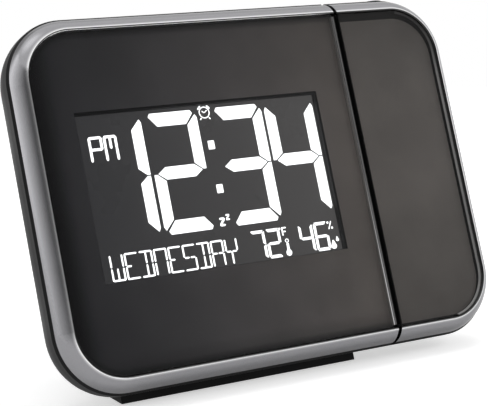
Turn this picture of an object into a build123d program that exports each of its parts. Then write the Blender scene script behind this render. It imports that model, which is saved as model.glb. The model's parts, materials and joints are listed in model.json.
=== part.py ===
"""Projection alarm clock: a leaning desk clock with a turning projection arm on its right.

Clock frame, used while modelling: X to the viewer's right, Y from the front face into the clock,
Z up along the face. X = 0 is the middle of the whole clock, Y = 0 the bezel's crest and Z = 0 the
crest's bottom line. At the end every piece is leaned back and put down on the floor, with +Z up,
and the origin at the bottom centre of the whole clock's box.
"""
import os
from math import cos, pi, radians, sin, sqrt

from build123d import *

# ---- overall sizes (mm) ---------------------------------------------------------------------
CREST_W = 160.0          # between the left and right crest lines of the bezel
CREST_H = 114.7          # between its bottom and top crest lines
CREST_R = 17.0           # corner radius of the crest line
LEAN = 19.0              # the face leans back by this angle, degrees
ARM_GAP_X = 39.6         # middle of the gap between the body and the arm
ARM_GAP = 1.4            # width of that gap

# ---- clearances -----------------------------------------------------------------------------
SEAT = 0.1               # between two fixed pieces that are seated on each other
FIT = 0.05               # radial clearance of a running fit
LOOSE = 0.3              # between pieces that move past each other

# ---- bezel band -----------------------------------------------------------------------------
BAND_OUT = 4.3           # the band's outer edge, out from the crest line
BAND_DEPTH = 5.7         # and back from it
BAND_BULGE = 0.7         # how far the band's curve stands off its chord
BAND_EDGE = 0.5          # flat rim behind the curve
BAND_WALL = 1.65         # thickness of the band at its rim
LIP_IN = 0.6             # inner lip, in from the crest line
LIP_DROP = 0.45

# ---- shells ---------------------------------------------------------------------------------
SHELL_OUT = 5.0          # the shells' outline, out from the crest line
SHELL_ROUND = 17.0       # round between the sides and the back
SHELL_CHAMFER = 0.7
WALL = 2.0

# ---- front frames and lenses ----------------------------------------------------------------
LENS_FRONT = 0.55        # depth of the lens surface behind the crest
LENS_T = 1.95
LENS_GAP = 0.75          # lens edge, in from the crest line
LENS_EDGE = 0.35
FRAME_T = 2.0            # plate behind the lens
FLANGE_T = 1.7           # ring that carries the band
SKIRT_T = 1.5            # spigot ring that locates the shell
SKIRT_L = 1.7
BODY_LENS_END = 0.7      # the display lens stops this far short of the body's end face
ARM_LENS_END = 0.4       # and the arm's face this far short of the arm's

# ---- display --------------------------------------------------------------------------------
WINDOW_W = 91.2
WINDOW_H = 55.7
WINDOW_X = -19.9         # middle of the display window
WINDOW_Z = 58.45
GLASS_T = 1.0            # one of the LCD's two glass layers
GLASS_BORDER = 2.0
CONTACT_LEDGE = 3.0      # the front glass runs on below the rear one
GUIDE_T = 2.4
HOLDER_WALL = 1.6
BOARD_T = 1.6

# ---- pivot of the arm -----------------------------------------------------------------------
SHAFT_R = 3.8
SHAFT_BORE_R = 2.7
SHAFT_FLANGE_T = 1.6
PIVOT_FLANGE_W = 2.4     # flanges and washer, out from the shaft
PIVOT_SCREW_OUT = 1.2    # circle of the arm's pivot screws, out from the shaft
WASHER_T = 0.4
WASHER_SPACE = 0.95
SHAFT_END = 5.7          # how far the shaft reaches in past the body's end face
BUSH_WALL = 0.95
CLIP_T = 0.7
GROOVE_DEPTH = 0.65
LEAD_R = 2.2

# ---- projector ------------------------------------------------------------------------------
LENS_X = 62.7            # optical axis, parallel to Z
LENS_Y = 13.0
CHASSIS = 15.0           # outside width of the square optical chassis
CHASSIS_WALL = 1.5
CHASSIS_Z = 70.0
BARREL_R = 4.4
BARREL_WALL = 0.8
RING_R = 6.1
RING_PROUD = 0.4         # the focus ring stands this far above the top of the shell
RING_FLANGE_R = 7.0
FOCUS_TRAVEL = 2.4

# ---- snooze bar -----------------------------------------------------------------------------
SNOOZE_X0 = -41.3        # its left end; its right end stops at the gap
SNOOZE_Y0 = 8.7
SNOOZE_Y1 = 18.5
SNOOZE_PROUD = 0.3
SNOOZE_TRAVEL = 1.2
SNOOZE_FLANGE = 1.0
SHELF_DROP = 9.0         # shelf for its springs and switch, below the crest's top line

# ---- setting buttons at the back ------------------------------------------------------------
BUTTONS = ["time_button", "alarm_button", "down_button", "up_button", "projection_button", "flip_button"]
BUTTON_PITCH = 13.0
BUTTON_X0 = -52.0
BUTTON_Z = 84.0
BUTTON_W = 8.0
BUTTON_H = 5.0
BUTTON_PROUD = 1.0
BUTTON_TRAVEL = 0.6
SWITCH_SIZE = 6.0
SWITCH_H = 3.4
SWITCH_BORE = 3.0
STEM_R = 1.65

# ---- battery bay ----------------------------------------------------------------------------
CELL_R = 5.25
CELL_L = 43.3
CELL_NUB = 1.0
CELL_GAP = 0.9           # between the two cells
CELL_SPARE = 1.05        # between the cells and the door
BAY_X0 = -47.0
BAY_X1 = 6.5
BAY_Z = 34.0             # middle of the bay
BAY_WALL = 1.1
DOOR_LEDGE = 3.0
DOOR_T = 1.95

# ---- sockets, buzzer and sensor -------------------------------------------------------------
JACK_X = 22.0
JACK_Z = 33.0
JACK_W = 9.0
JACK_H = 11.0
JACK_BORE_R = 3.0
JACK_PIN_R = 1.0
BUZZER_X = -56.0
BUZZER_R = 11.0
SENSOR_X = -60.0
SENSOR_Y = 20.6
SENSOR_Z = 35.0

# ---- foot -----------------------------------------------------------------------------------
FOOT_X0 = -62.2
FOOT_X1 = 27.8
FOOT_Y = 15.0            # its front face, behind the crest
HEEL_CLEAR = 3.44366     # the shell's lower round clears the floor by this
FOOT_L = 44.0            # along the floor
FOOT_T = 3.4
FOOT_CORNER = 8.0
FOOT_RISE = 8.0          # height of its front face above the strips
RUBBER_PROUD = 0.5
RUBBER_SUNK = 0.7
RUBBER_W = 5.0

# ---- fasteners ------------------------------------------------------------------------------
SCREW_R = 1.4
SCREW_HEAD_R = 2.7
SCREW_HEAD_T = 1.8
SMALL_SCREW_R = 0.85
SMALL_HEAD_R = 1.5
SMALL_HEAD_T = 0.9
BOSS_R = 3.5
POST_R = 3.8

# ---- places that follow from the sizes above ------------------------------------------------
BODY_X1 = ARM_GAP_X - ARM_GAP / 2          # end face of the body, at the gap
ARM_X0 = ARM_GAP_X + ARM_GAP / 2           # end face of the arm
BODY_IN = BODY_X1 - WALL                   # inside of the body's end wall
ARM_IN = ARM_X0 + WALL
PIVOT_Z = CREST_H / 2
LENS_BACK = LENS_FRONT + LENS_T
FRAME_Y = LENS_BACK + SEAT                 # front of the frame plate
FRAME_BACK = FRAME_Y + FRAME_T
FLANGE_BACK = FRAME_BACK + FLANGE_T
SKIRT_BACK = FLANGE_BACK + SKIRT_L
SKIRT_OUT = SHELL_OUT - WALL - 0.5
PARTING_Y = BAND_DEPTH + BAND_EDGE + SEAT  # front edge of the shells
GLASS_Y = FRAME_BACK + SEAT
GLASS_BACK = GLASS_Y + 2 * GLASS_T
GUIDE_Y = GLASS_BACK + 2 * SEAT
GUIDE_BACK = GUIDE_Y + GUIDE_T
HOLDER_BACK = GUIDE_BACK + 5 * SEAT
BOARD_Y = HOLDER_BACK + 2 * SEAT
BOARD_BACK = BOARD_Y + BOARD_T
CELL_UNDER = 0.15                          # between the cells and the bay's floor
CELL_PITCH = 2 * CELL_R + CELL_GAP
CELL_Y = BOARD_BACK + 0.6 + BAY_WALL + CELL_R + CELL_UNDER
DOOR_CREEP = 0.05                          # play between the door and its ledge
SHELL_DEPTH = CELL_Y + CELL_R + CELL_SPARE + DOOR_T + DOOR_CREEP   # crest to the flat of the back
BACK_IN = SHELL_DEPTH - WALL               # inside of the back wall
PIVOT_Y = FRAME_BACK + 2 * SEAT + PIVOT_FLANGE_W + SHAFT_R
SHAFT_FLANGE_R = SHAFT_R + PIVOT_FLANGE_W
BUSH_FLANGE_R = SHAFT_R + PIVOT_FLANGE_W
PIVOT_SCREW_Z = SHAFT_R + PIVOT_SCREW_OUT  # the pivot screws, above and below the axis
TOP_Z = CREST_H + SHELL_OUT                # top of the shells
SNOOZE_X1 = BODY_X1 - 0.6
GLASS_X0 = WINDOW_X - WINDOW_W / 2 - GLASS_BORDER
GLASS_X1 = WINDOW_X + WINDOW_W / 2 + GLASS_BORDER
GLASS_Z0 = WINDOW_Z - WINDOW_H / 2 - GLASS_BORDER
GLASS_Z1 = WINDOW_Z + WINDOW_H / 2 + GLASS_BORDER
LEDGE_Z0 = GLASS_Z0 - CONTACT_LEDGE        # the front glass reaches down to here
SHAFT_X0 = BODY_X1 - SHAFT_END
FAR = 400.0                                # larger than the clock, for trimming boxes

# ---- fastening and the main board -----------------------------------------------------------
CASE_JOINT_Y = 13.1      # where the front bosses and the rear posts meet
CASE_SEAT_Y = 15.7       # where the screw heads seat
CASE_SCREW_L = 9.0
BODY_SCREW_XS = [-CREST_W / 2 + 14.0, BODY_IN - 5.4]
BODY_SCREWS = [(x, z) for x in BODY_SCREW_XS for z in (11.0, CREST_H - 11.0)]
ARM_SCREWS = [
    (ARM_IN + 5.7, 12.0),
    (CREST_W / 2 - 8.0, 12.0),
    (ARM_IN + 5.7, CREST_H - 14.0),
    (CREST_W / 2 - 5.8, CREST_H - 18.0),
]
BOARD_X0 = GLASS_X0 - 7.5
BOARD_X1 = SHAFT_X0 - 4.8
BOARD_Z0 = LEDGE_Z0 - 8.4
BOARD_Z1 = GLASS_Z1 + 8.7
BOARD_SCREWS = [(x, z) for x in (BOARD_X0 + 15.0, BOARD_X1 - 10.4) for z in (BOARD_Z0 + 2.5, BOARD_Z1 - 2.5)]

# ---- inside the body ------------------------------------------------------------------------
SHELF_TOP = CREST_H - SHELF_DROP
SHELF_T = 1.6
SNOOZE_MID_X = (SNOOZE_X0 + SNOOZE_X1) / 2
SNOOZE_MID_Y = (SNOOZE_Y0 + SNOOZE_Y1) / 2
SNOOZE_SPRINGS = [SNOOZE_MID_X - 26, SNOOZE_MID_X + 23]
SNOOZE_FLANGE_TOP = CREST_H - 0.8
SNOOZE_FLANGE_T = 1.4
SNOOZE_UNDER = SNOOZE_FLANGE_TOP - SNOOZE_FLANGE_T
SNOOZE_SWITCH_Z = SHELF_TOP + SEAT + BOARD_T
SNOOZE_POST_Z = SNOOZE_SWITCH_Z + SWITCH_H - 1.6
BAY_FLOOR = CELL_Y - CELL_R - CELL_UNDER
BAY_Z0 = BAY_Z - CELL_PITCH / 2 - CELL_R - 0.45
BAY_Z1 = BAY_Z + CELL_PITCH / 2 + CELL_R + 0.45
DOOR_X0 = BAY_X0 - DOOR_LEDGE
DOOR_X1 = BAY_X1 + DOOR_LEDGE
DOOR_Z0 = BAY_Z0 - DOOR_LEDGE
DOOR_Z1 = BAY_Z1 + DOOR_LEDGE
LEDGE_Y = SHELL_DEPTH - DOOR_T - DOOR_CREEP
DOOR_CLEAR = 0.35
LEDGE_W = 2.0                              # the ledge round the door
BUZZER_Z = DOOR_Z1 + LEDGE_W + BUZZER_R + 0.6
TAB_X = [DOOR_X0 + 14, DOOR_X1 - 14]
TAB_W = 6.0
BUTTON_BOARD_Y = 18.4
SWITCH_Y = BUTTON_BOARD_Y + BOARD_T
STEM_Y = SWITCH_Y + SWITCH_H
BUTTON_FLANGE_Y = STEM_Y + BUTTON_TRAVEL + 0.2
BUTTON_XS = [BUTTON_X0 + BUTTON_PITCH * index for index in range(len(BUTTONS))]
BUTTON_BOARD_X0 = BUTTON_X0 - 10.5
BUTTON_BOARD_X1 = BUTTON_XS[-1] + 10.5
BUTTON_BOARD_SCREWS = [(BUTTON_X0 - 7.5, BUTTON_Z + 4), (BUTTON_XS[-1] + 7.5, BUTTON_Z + 4)]
JACK_Y0 = BOARD_BACK + SEAT
JACK_Y1 = SHELL_DEPTH - 0.5
CELL_ZS = [BAY_Z - CELL_PITCH / 2, BAY_Z + CELL_PITCH / 2]
CELL_X0 = BAY_X1 - 0.6 - CELL_NUB - CELL_L

# ---- along the pivot ------------------------------------------------------------------------
BUSH_X0 = BODY_IN - 0.2
WASHER_X1 = BUSH_X0 - SEAT
WASHER_X0 = WASHER_X1 - WASHER_SPACE
CLIP_X1 = WASHER_X0 - SEAT
CLIP_X0 = CLIP_X1 - CLIP_T
HEADER_X1 = SHAFT_X0 - 1.0
SOCKET_X0 = ARM_IN + SHAFT_FLANGE_T + 1.6

# ---- inside the arm -------------------------------------------------------------------------
ARM_BOARD_Y = 15.5
LED_BOARD_Z = CHASSIS_Z - 0.3 - BOARD_T
RING_TOP = TOP_Z + RING_PROUD
RING_FLANGE_Z = CREST_H - 1.8
RING_FLANGE_T = 1.3
BARREL_Z0 = CREST_H - 16.0
BARREL_Z1 = CREST_H + 1.2
CHASSIS_TOP = RING_FLANGE_Z - RING_FLANGE_T - 0.25
CONDENSER_Z = CHASSIS_Z + 6.0
IMAGER_Z = CHASSIS_Z + 13.0
GUIDE_TUBE_Z = BARREL_Z0 - FOCUS_TRAVEL / 2 - 0.6
CHASSIS_EAR_X = CHASSIS / 2 + 2.4
CHASSIS_EAR_Z = CHASSIS_Z + 20
CHASSIS_EAR_Y = 18.0
ARM_BOARD_SCREWS = [(51, 30), (74, 30)]

# ---- the floor, found from the shell's lower round --------------------------------------------
LEAN_SIN = sin(radians(LEAN))
LEAN_COS = cos(radians(LEAN))
HEEL_Y = (SHELL_DEPTH - SHELL_ROUND) * LEAN_COS + (SHELL_ROUND - SHELL_OUT) * LEAN_SIN
HEEL_Z = HEEL_CLEAR + SHELL_ROUND
FLOOR_RISE = HEEL_Z + (SHELL_DEPTH - SHELL_ROUND) * LEAN_SIN - (SHELL_ROUND - SHELL_OUT) * LEAN_COS
FOOT_DROP = (FLOOR_RISE - FOOT_Y * LEAN_SIN) / LEAN_COS
TO_FLOOR = Pos(0, 0, FLOOR_RISE) * Rot(-LEAN, 0, 0)
TO_CLOCK = TO_FLOOR.inverse()
FOOT_Y0 = FOOT_Y * LEAN_COS - FOOT_DROP * LEAN_SIN
FOOT_Y1 = FOOT_Y0 + FOOT_L
FOOT_SCREW_Y = FOOT_Y0 + 11.0
FOOT_SCREW_Z = HEEL_Z - sqrt(SHELL_ROUND**2 - (FOOT_SCREW_Y - HEEL_Y) ** 2) - 0.6
FOOT_SCREW_X = [FOOT_X0 + 16, (FOOT_X0 + FOOT_X1) / 2, FOOT_X1 - 16]
FOOT_HEAD_Z = 1.4
RUBBER_X0 = FOOT_X0 + 6
RUBBER_X1 = FOOT_X1 - 6
RUBBER_YS = [FOOT_Y0 + 2.2, FOOT_Y1 - 9.5]


# ---- helpers --------------------------------------------------------------------------------
def block(x0, x1, y0, y1, z0, z1):
    """A box between two corners."""
    centre = Pos((x0 + x1) / 2, (y0 + y1) / 2, (z0 + z1) / 2)
    return centre * Box(abs(x1 - x0), abs(y1 - y0), abs(z1 - z0))


def rod_x(y, z, radius, x0, x1):
    """A cylinder along X."""
    return Pos((x0 + x1) / 2, y, z) * Rot(0, 90, 0) * Cylinder(radius, abs(x1 - x0))


def rod_y(x, z, radius, y0, y1):
    """A cylinder along Y."""
    return Pos(x, (y0 + y1) / 2, z) * Rot(90, 0, 0) * Cylinder(radius, abs(y1 - y0))


def rod_z(x, y, radius, z0, z1):
    """A cylinder along Z."""
    return Pos(x, y, (z0 + z1) / 2) * Cylinder(radius, abs(z1 - z0))


def face_plane(y):
    """A sketch plane parallel to the face, seen from the front."""
    return Plane(origin=(0, y, 0), x_dir=(1, 0, 0), z_dir=(0, -1, 0))


def prism(sketch, y0, y1):
    """A sketch drawn as seen from the front, made solid from depth y0 to y1."""
    return extrude(face_plane(y0) * sketch, amount=-(y1 - y0))


def outline(outset):
    """The whole clock's front outline, out from the crest line."""
    size_w = CREST_W + 2 * outset
    size_h = CREST_H + 2 * outset
    return Pos(0, CREST_H / 2) * RectangleRounded(size_w, size_h, CREST_R + outset)


def slab(outset, y0, y1):
    return prism(outline(outset), y0, y1)


def trim_x(part, x0, x1):
    """The stretch of a part between two X planes."""
    return part & block(x0, x1, -FAR, FAR, -FAR, FAR)


def join(*parts):
    total = parts[0]
    for part in parts[1:]:
        total = total + part
    return total


def screw(length, radius, head_r, head_t):
    """A pan-head screw standing on Z = 0: the shank goes down, the head stands up."""
    shank = Pos(0, 0, -length / 2) * Cylinder(radius, length)
    head = Pos(0, 0, head_t / 2) * Cylinder(head_r, head_t)
    head = fillet(head.edges().sort_by(Axis.Z)[-1], head_t * 0.45)
    slot_w = radius * 0.5
    slot = Box(head_r * 1.1, slot_w, head_t) + Box(slot_w, head_r * 1.1, head_t)
    return shank + head - Pos(0, 0, head_t) * slot


def coil(radius, wire_r, height, turns):
    """A coil spring standing on Z = 0."""
    path = Helix(pitch=height / turns, height=height, radius=radius)
    start = Plane(origin=path @ 0, z_dir=path % 0)
    return sweep(start * Circle(wire_r), path=path, is_frenet=True)


# ---- bezel bands ----------------------------------------------------------------------------
def band_section():
    """The band's cross-section: X out from the crest line, Y back into the clock."""
    rim = BAND_DEPTH + BAND_EDGE
    chord = sqrt(BAND_OUT**2 + BAND_DEPTH**2)
    bulge_at = (
        BAND_OUT / 2 + BAND_BULGE * BAND_DEPTH / chord,
        BAND_DEPTH / 2 - BAND_BULGE * BAND_OUT / chord,
    )
    inner = BAND_OUT - BAND_WALL
    plate_edge = 0.3 + 0.15
    points = [
        (BAND_OUT, BAND_DEPTH),
        (BAND_OUT, rim),
        (inner, rim),
        (inner, FRAME_BACK - 1.5 * SEAT),
        (plate_edge, FRAME_BACK - 1.5 * SEAT),
        (plate_edge, LENS_BACK),
        (-LIP_IN, LENS_BACK),
        (-LIP_IN, LIP_DROP),
    ]
    curve = ThreePointArc((0, 0), bulge_at, (BAND_OUT, BAND_DEPTH))
    lip = ThreePointArc((-LIP_IN, LIP_DROP), (-LIP_IN * 0.62, LIP_DROP * 0.3), (0, 0))
    return make_face(Curve() + [curve, Polyline(*points), lip])


def crest_path(x0, side):
    """The crest line from the gap round one side of the clock: side is -1 for left, 1 for right."""
    x_side = side * CREST_W / 2
    x_turn = side * (CREST_W / 2 - CREST_R)
    reach = CREST_R * (1 - 1 / sqrt(2))
    first, last = (CREST_H, 0) if side < 0 else (0, CREST_H)
    inward = 1 if last > first else -1
    points = [
        (x0, 0, first),
        (x_turn, 0, first),
        (x_side, 0, first + inward * CREST_R),
        (x_side, 0, last - inward * CREST_R),
        (x_turn, 0, last),
        (x0, 0, last),
    ]
    mids = [
        (x_side - side * reach, 0, first + inward * reach),
        (x_side - side * reach, 0, last - inward * reach),
    ]
    edges = [
        Line(points[0], points[1]),
        ThreePointArc(points[1], mids[0], points[2]),
        Line(points[2], points[3]),
        ThreePointArc(points[3], mids[1], points[4]),
        Line(points[4], points[5]),
    ]
    return Wire([edge.edge() for edge in edges])


def bezel_band(x0, side):
    """One bezel band, swept along the crest line with its ends square at the gap."""
    start_z = CREST_H if side < 0 else 0
    outward = (0, 0, 1) if side < 0 else (0, 0, -1)
    plane = Plane(origin=(x0, 0, start_z), x_dir=outward, z_dir=(side, 0, 0))
    return sweep(plane * band_section(), path=crest_path(x0, side))


# ---- lenses and front frames ----------------------------------------------------------------
def lens_panel(x0, x1):
    panel = trim_x(slab(-LENS_GAP, LENS_FRONT, LENS_BACK), x0, x1)
    front = panel.faces().sort_by(Axis.Y)[0]
    return fillet(front.edges(), LENS_EDGE)


def front_frame(x0, x1, gap_x, wall_in):
    """Plate behind a lens, with the ring that carries the band and the spigot for the shell."""
    plate = trim_x(slab(0.3, FRAME_Y, FRAME_BACK), x0, x1)
    ring = slab(SKIRT_OUT, FRAME_BACK, FLANGE_BACK) - slab(-0.5, FRAME_BACK, FLANGE_BACK)
    skirt = slab(SKIRT_OUT, FLANGE_BACK, SKIRT_BACK) - slab(SKIRT_OUT - SKIRT_T, FLANGE_BACK, SKIRT_BACK)
    rim = ring + skirt
    inside = wall_in - LOOSE if gap_x > wall_in else wall_in + LOOSE
    rim = trim_x(rim, x0, inside) if gap_x > wall_in else trim_x(rim, inside, x1)
    return plate + rim


def shell_form(outset, y0, y1, round_r):
    """A rounded-back form of the whole clock's outline."""
    form = slab(outset, y0, y1)
    back = form.faces().sort_by(Axis.Y)[-1]
    return fillet(back.edges(), round_r)


def shell_outer():
    form = shell_form(SHELL_OUT, PARTING_Y, SHELL_DEPTH, SHELL_ROUND)
    front = form.faces().sort_by(Axis.Y)[0]
    return chamfer(front.edges(), SHELL_CHAMFER)


def shell_inner():
    return shell_form(SHELL_OUT - WALL, PARTING_Y - SEAT, BACK_IN, SHELL_ROUND - WALL)


def shell_half(x0, x1, cavity_x0, cavity_x1, wall_x0, wall_x1):
    """One shell: a rounded tub with a flat end wall beside the gap."""
    tub = trim_x(shell_outer(), x0, x1) - trim_x(shell_inner(), cavity_x0, cavity_x1)
    wall = block(wall_x0, wall_x1, FRAME_BACK + SEAT, PARTING_Y + 1, 0, CREST_H)
    return tub + wall


# ---- fastening ------------------------------------------------------------------------------
def case_posts(places, shell_shape):
    """Screw posts that stand forward from the back wall, kept inside the shell's form."""
    posts = join(*[rod_y(x, z, POST_R, CASE_JOINT_Y + SEAT, SHELL_DEPTH) for x, z in places])
    return posts & shell_shape


def case_screws(places):
    one = Rot(-90, 0, 0) * screw(CASE_SCREW_L, SCREW_R, SCREW_HEAD_R, SCREW_HEAD_T)
    return [Pos(x, CASE_SEAT_Y, z) * one for x, z in places]


def boss_holes(places, depth=7.6):
    return [rod_y(x, z, SCREW_R + FIT, CASE_JOINT_Y - depth, CASE_JOINT_Y + 1) for x, z in places]


def body_front_frame():
    frame = front_frame(-FAR, BODY_X1, BODY_X1, BODY_IN)
    window = block(
        WINDOW_X - WINDOW_W / 2, WINDOW_X + WINDOW_W / 2, 0, FRAME_BACK + 1,
        WINDOW_Z - WINDOW_H / 2, WINDOW_Z + WINDOW_H / 2,
    )
    bosses = [rod_y(x, z, BOSS_R, FRAME_Y + 1, CASE_JOINT_Y) for x, z in BODY_SCREWS]
    pads = [rod_y(x, z, 2.4, FRAME_Y + 1, BOARD_Y) for x, z in BOARD_SCREWS]
    frame = join(frame, *bosses, *pads) - window
    for hole in boss_holes(BODY_SCREWS):
        frame = frame - hole
    for x, z in BOARD_SCREWS:
        frame = frame - rod_y(x, z, SMALL_SCREW_R + FIT, BOARD_Y - 4.5, BOARD_Y + 1)
    return frame


def arm_front_frame():
    frame = front_frame(ARM_X0, FAR, ARM_X0, ARM_IN)
    bosses = [rod_y(x, z, BOSS_R, FRAME_Y + 1, CASE_JOINT_Y) for x, z in ARM_SCREWS]
    frame = join(frame, *bosses)
    for hole in boss_holes(ARM_SCREWS):
        frame = frame - hole
    notch = RING_R + 3 * LOOSE
    return frame - block(LENS_X - notch, LENS_X + notch, FLANGE_BACK, SKIRT_BACK + 1, CREST_H, CREST_H + 9)


# ---- display stack --------------------------------------------------------------------------
def lcd_glass():
    front = block(GLASS_X0, GLASS_X1, GLASS_Y, GLASS_Y + GLASS_T, LEDGE_Z0, GLASS_Z1)
    rear = block(GLASS_X0, GLASS_X1, GLASS_Y + GLASS_T, GLASS_BACK, GLASS_Z0, GLASS_Z1)
    return front + rear


def light_guide():
    guide = block(GLASS_X0 + 2, GLASS_X1 - 0.5, GUIDE_Y, GUIDE_BACK, GLASS_Z0 + 0.5, GLASS_Z1 - 0.5)
    edge = guide.faces().sort_by(Axis.X)[0]
    return chamfer(edge.edges(), 0.3)


def backlight_strip():
    """A narrow board with four LEDs that shine into the edge of the light guide."""
    board_x = GLASS_X0 + 0.2
    strip = block(board_x, board_x + 0.8, GUIDE_Y, GUIDE_BACK, GLASS_Z0 + 2, GLASS_Z1 - 2)
    pitch = (GLASS_Z1 - GLASS_Z0) / 4
    pieces = [strip]
    for index in range(4):
        z = GLASS_Z0 + pitch * (index + 0.5)
        pieces.append(block(board_x + 0.8, board_x + 1.7, GUIDE_Y + 0.4, GUIDE_BACK - 0.4, z - 2, z + 2))
    return pieces


def zebra_strip():
    return block(
        GLASS_X0 + 3, GLASS_X1 - 3, GLASS_Y + GLASS_T + SEAT, BOARD_Y - SEAT,
        LEDGE_Z0 + 0.4, GLASS_Z0 - 0.4,
    )


def lcd_holder():
    """Plastic frame that clamps the glass, the guide and the strips against the board."""
    clear = 0.2
    cavity = block(GLASS_X0 - clear, GLASS_X1 + clear, 0, 20, LEDGE_Z0 - clear, GLASS_Z1 + clear)
    outer = block(
        GLASS_X0 - clear - HOLDER_WALL, GLASS_X1 + clear + 1.1, GLASS_Y, HOLDER_BACK,
        LEDGE_Z0 - clear - HOLDER_WALL, GLASS_Z1 + clear + HOLDER_WALL,
    )
    bar = block(
        GLASS_X0 - clear, GLASS_X1 + clear, GUIDE_BACK + SEAT, HOLDER_BACK,
        GLASS_Z0 - 0.2, GLASS_Z0 + 1.4,
    )
    return outer - cavity + bar


def main_board():
    board = block(BOARD_X0, BOARD_X1, BOARD_Y, BOARD_BACK, BOARD_Z0, BOARD_Z1)
    corners = board.edges().filter_by(Axis.Y)
    board = fillet(corners, 1.5)
    for x, z in BOARD_SCREWS:
        board = board - rod_y(x, z, SMALL_SCREW_R + 0.25, BOARD_Y - 1, BOARD_BACK + 1)
    return board


def board_screw():
    return screw(BOARD_T + 3.0, SMALL_SCREW_R, SMALL_HEAD_R + 0.3, SMALL_HEAD_T)


def board_screws():
    """The screws of the main board, driven from behind, and of the button board, from in front."""
    main = [Pos(x, BOARD_BACK, z) * Rot(-90, 0, 0) * board_screw() for x, z in BOARD_SCREWS]
    rear = [Pos(x, BUTTON_BOARD_Y, z) * Rot(90, 0, 0) * board_screw() for x, z in BUTTON_BOARD_SCREWS]
    return main + rear


def controller_chip():
    """The controller, sealed under a round blob of resin."""
    bottom = BOARD_BACK + 1.6
    cap = Pos(-12, bottom - 14, 64) * Sphere(14)
    return cap & block(-40, 20, BOARD_BACK, bottom + 1, 40, 90)


def quartz_crystal():
    can = rod_x(BOARD_BACK + 1.0, 76, 1.0, -33, -27)
    return can


# ---- rear housing of the body ---------------------------------------------------------------
def battery_bay():
    """The tub that holds the cells, with the ledge that the door lies on."""
    outer = block(
        BAY_X0 - BAY_WALL, BAY_X1 + BAY_WALL, BAY_FLOOR - BAY_WALL, BACK_IN,
        BAY_Z0 - BAY_WALL, BAY_Z1 + BAY_WALL,
    )
    ledge = block(
        DOOR_X0 - LEDGE_W, DOOR_X1 + LEDGE_W, LEDGE_Y - 1.2, BACK_IN,
        DOOR_Z0 - LEDGE_W, DOOR_Z1 + LEDGE_W,
    )
    return outer + ledge


def battery_bay_cuts():
    room = block(BAY_X0, BAY_X1, BAY_FLOOR, SHELL_DEPTH + 1, BAY_Z0, BAY_Z1)
    recess = block(
        DOOR_X0 - DOOR_CLEAR, DOOR_X1 + DOOR_CLEAR, LEDGE_Y, SHELL_DEPTH + 1,
        DOOR_Z0 - DOOR_CLEAR, DOOR_Z1 + DOOR_CLEAR,
    )
    cuts = [room, recess]
    for x in TAB_X:
        half = TAB_W / 2 + 0.4
        cuts.append(block(x - half, x + half, LEDGE_Y - 2.4, LEDGE_Y + 0.1, DOOR_Z0 - 2.4, DOOR_Z0 + 4.6))
    return cuts


def snooze_opening():
    """The bar's opening runs out at the gap, through the top of the end wall."""
    clear = 0.4
    y0 = SNOOZE_Y0 - clear
    y1 = SNOOZE_Y1 + clear
    top = block(SNOOZE_X0 - clear, FAR, y0, y1, CREST_H - 1.2, CREST_H + 20)
    notch_z = SNOOZE_UNDER - SNOOZE_TRAVEL - clear
    notch = block(BODY_IN - 1, FAR, y0, y1, notch_z, CREST_H)
    return top + notch


def snooze_shelves():
    """Shelves that carry the bar's springs and its switch board, out from the back wall."""
    y0 = SNOOZE_Y0 + 1.6
    shelves = []
    for x in SNOOZE_SPRINGS:
        shelves.append(block(x - 4, x + 4, y0, BACK_IN + 1, SHELF_TOP - SHELF_T, SHELF_TOP))
    x = SNOOZE_MID_X
    shelves.append(block(x - 9, x + 9, y0, BACK_IN + 1, SHELF_TOP - SHELF_T, SHELF_TOP))
    return join(*shelves)


def sound_holes():
    holes = [rod_y(BUZZER_X, BUZZER_Z, 0.8, BACK_IN - 1, SHELL_DEPTH + 1)]
    for index in range(6):
        angle = radians(60 * index)
        x = BUZZER_X + 4 * cos(angle)
        z = BUZZER_Z + 4 * sin(angle)
        holes.append(rod_y(x, z, 0.8, BACK_IN - 1, SHELL_DEPTH + 1))
    return holes


def vent_slots():
    slots = []
    for index in range(5):
        z = SENSOR_Z + 3 * (index - 2)
        slots.append(block(SENSOR_X - 5, SENSOR_X + 5, BACK_IN - 4, SHELL_DEPTH + 1, z - 0.6, z + 0.6))
    return slots


def foot_bosses():
    """Bosses for the foot's screws, upright from the floor."""
    return [rod_z(x, FOOT_SCREW_Y, 3.0, FOOT_SCREW_Z, FOOT_SCREW_Z + 8.5) for x in FOOT_SCREW_X]


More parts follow.
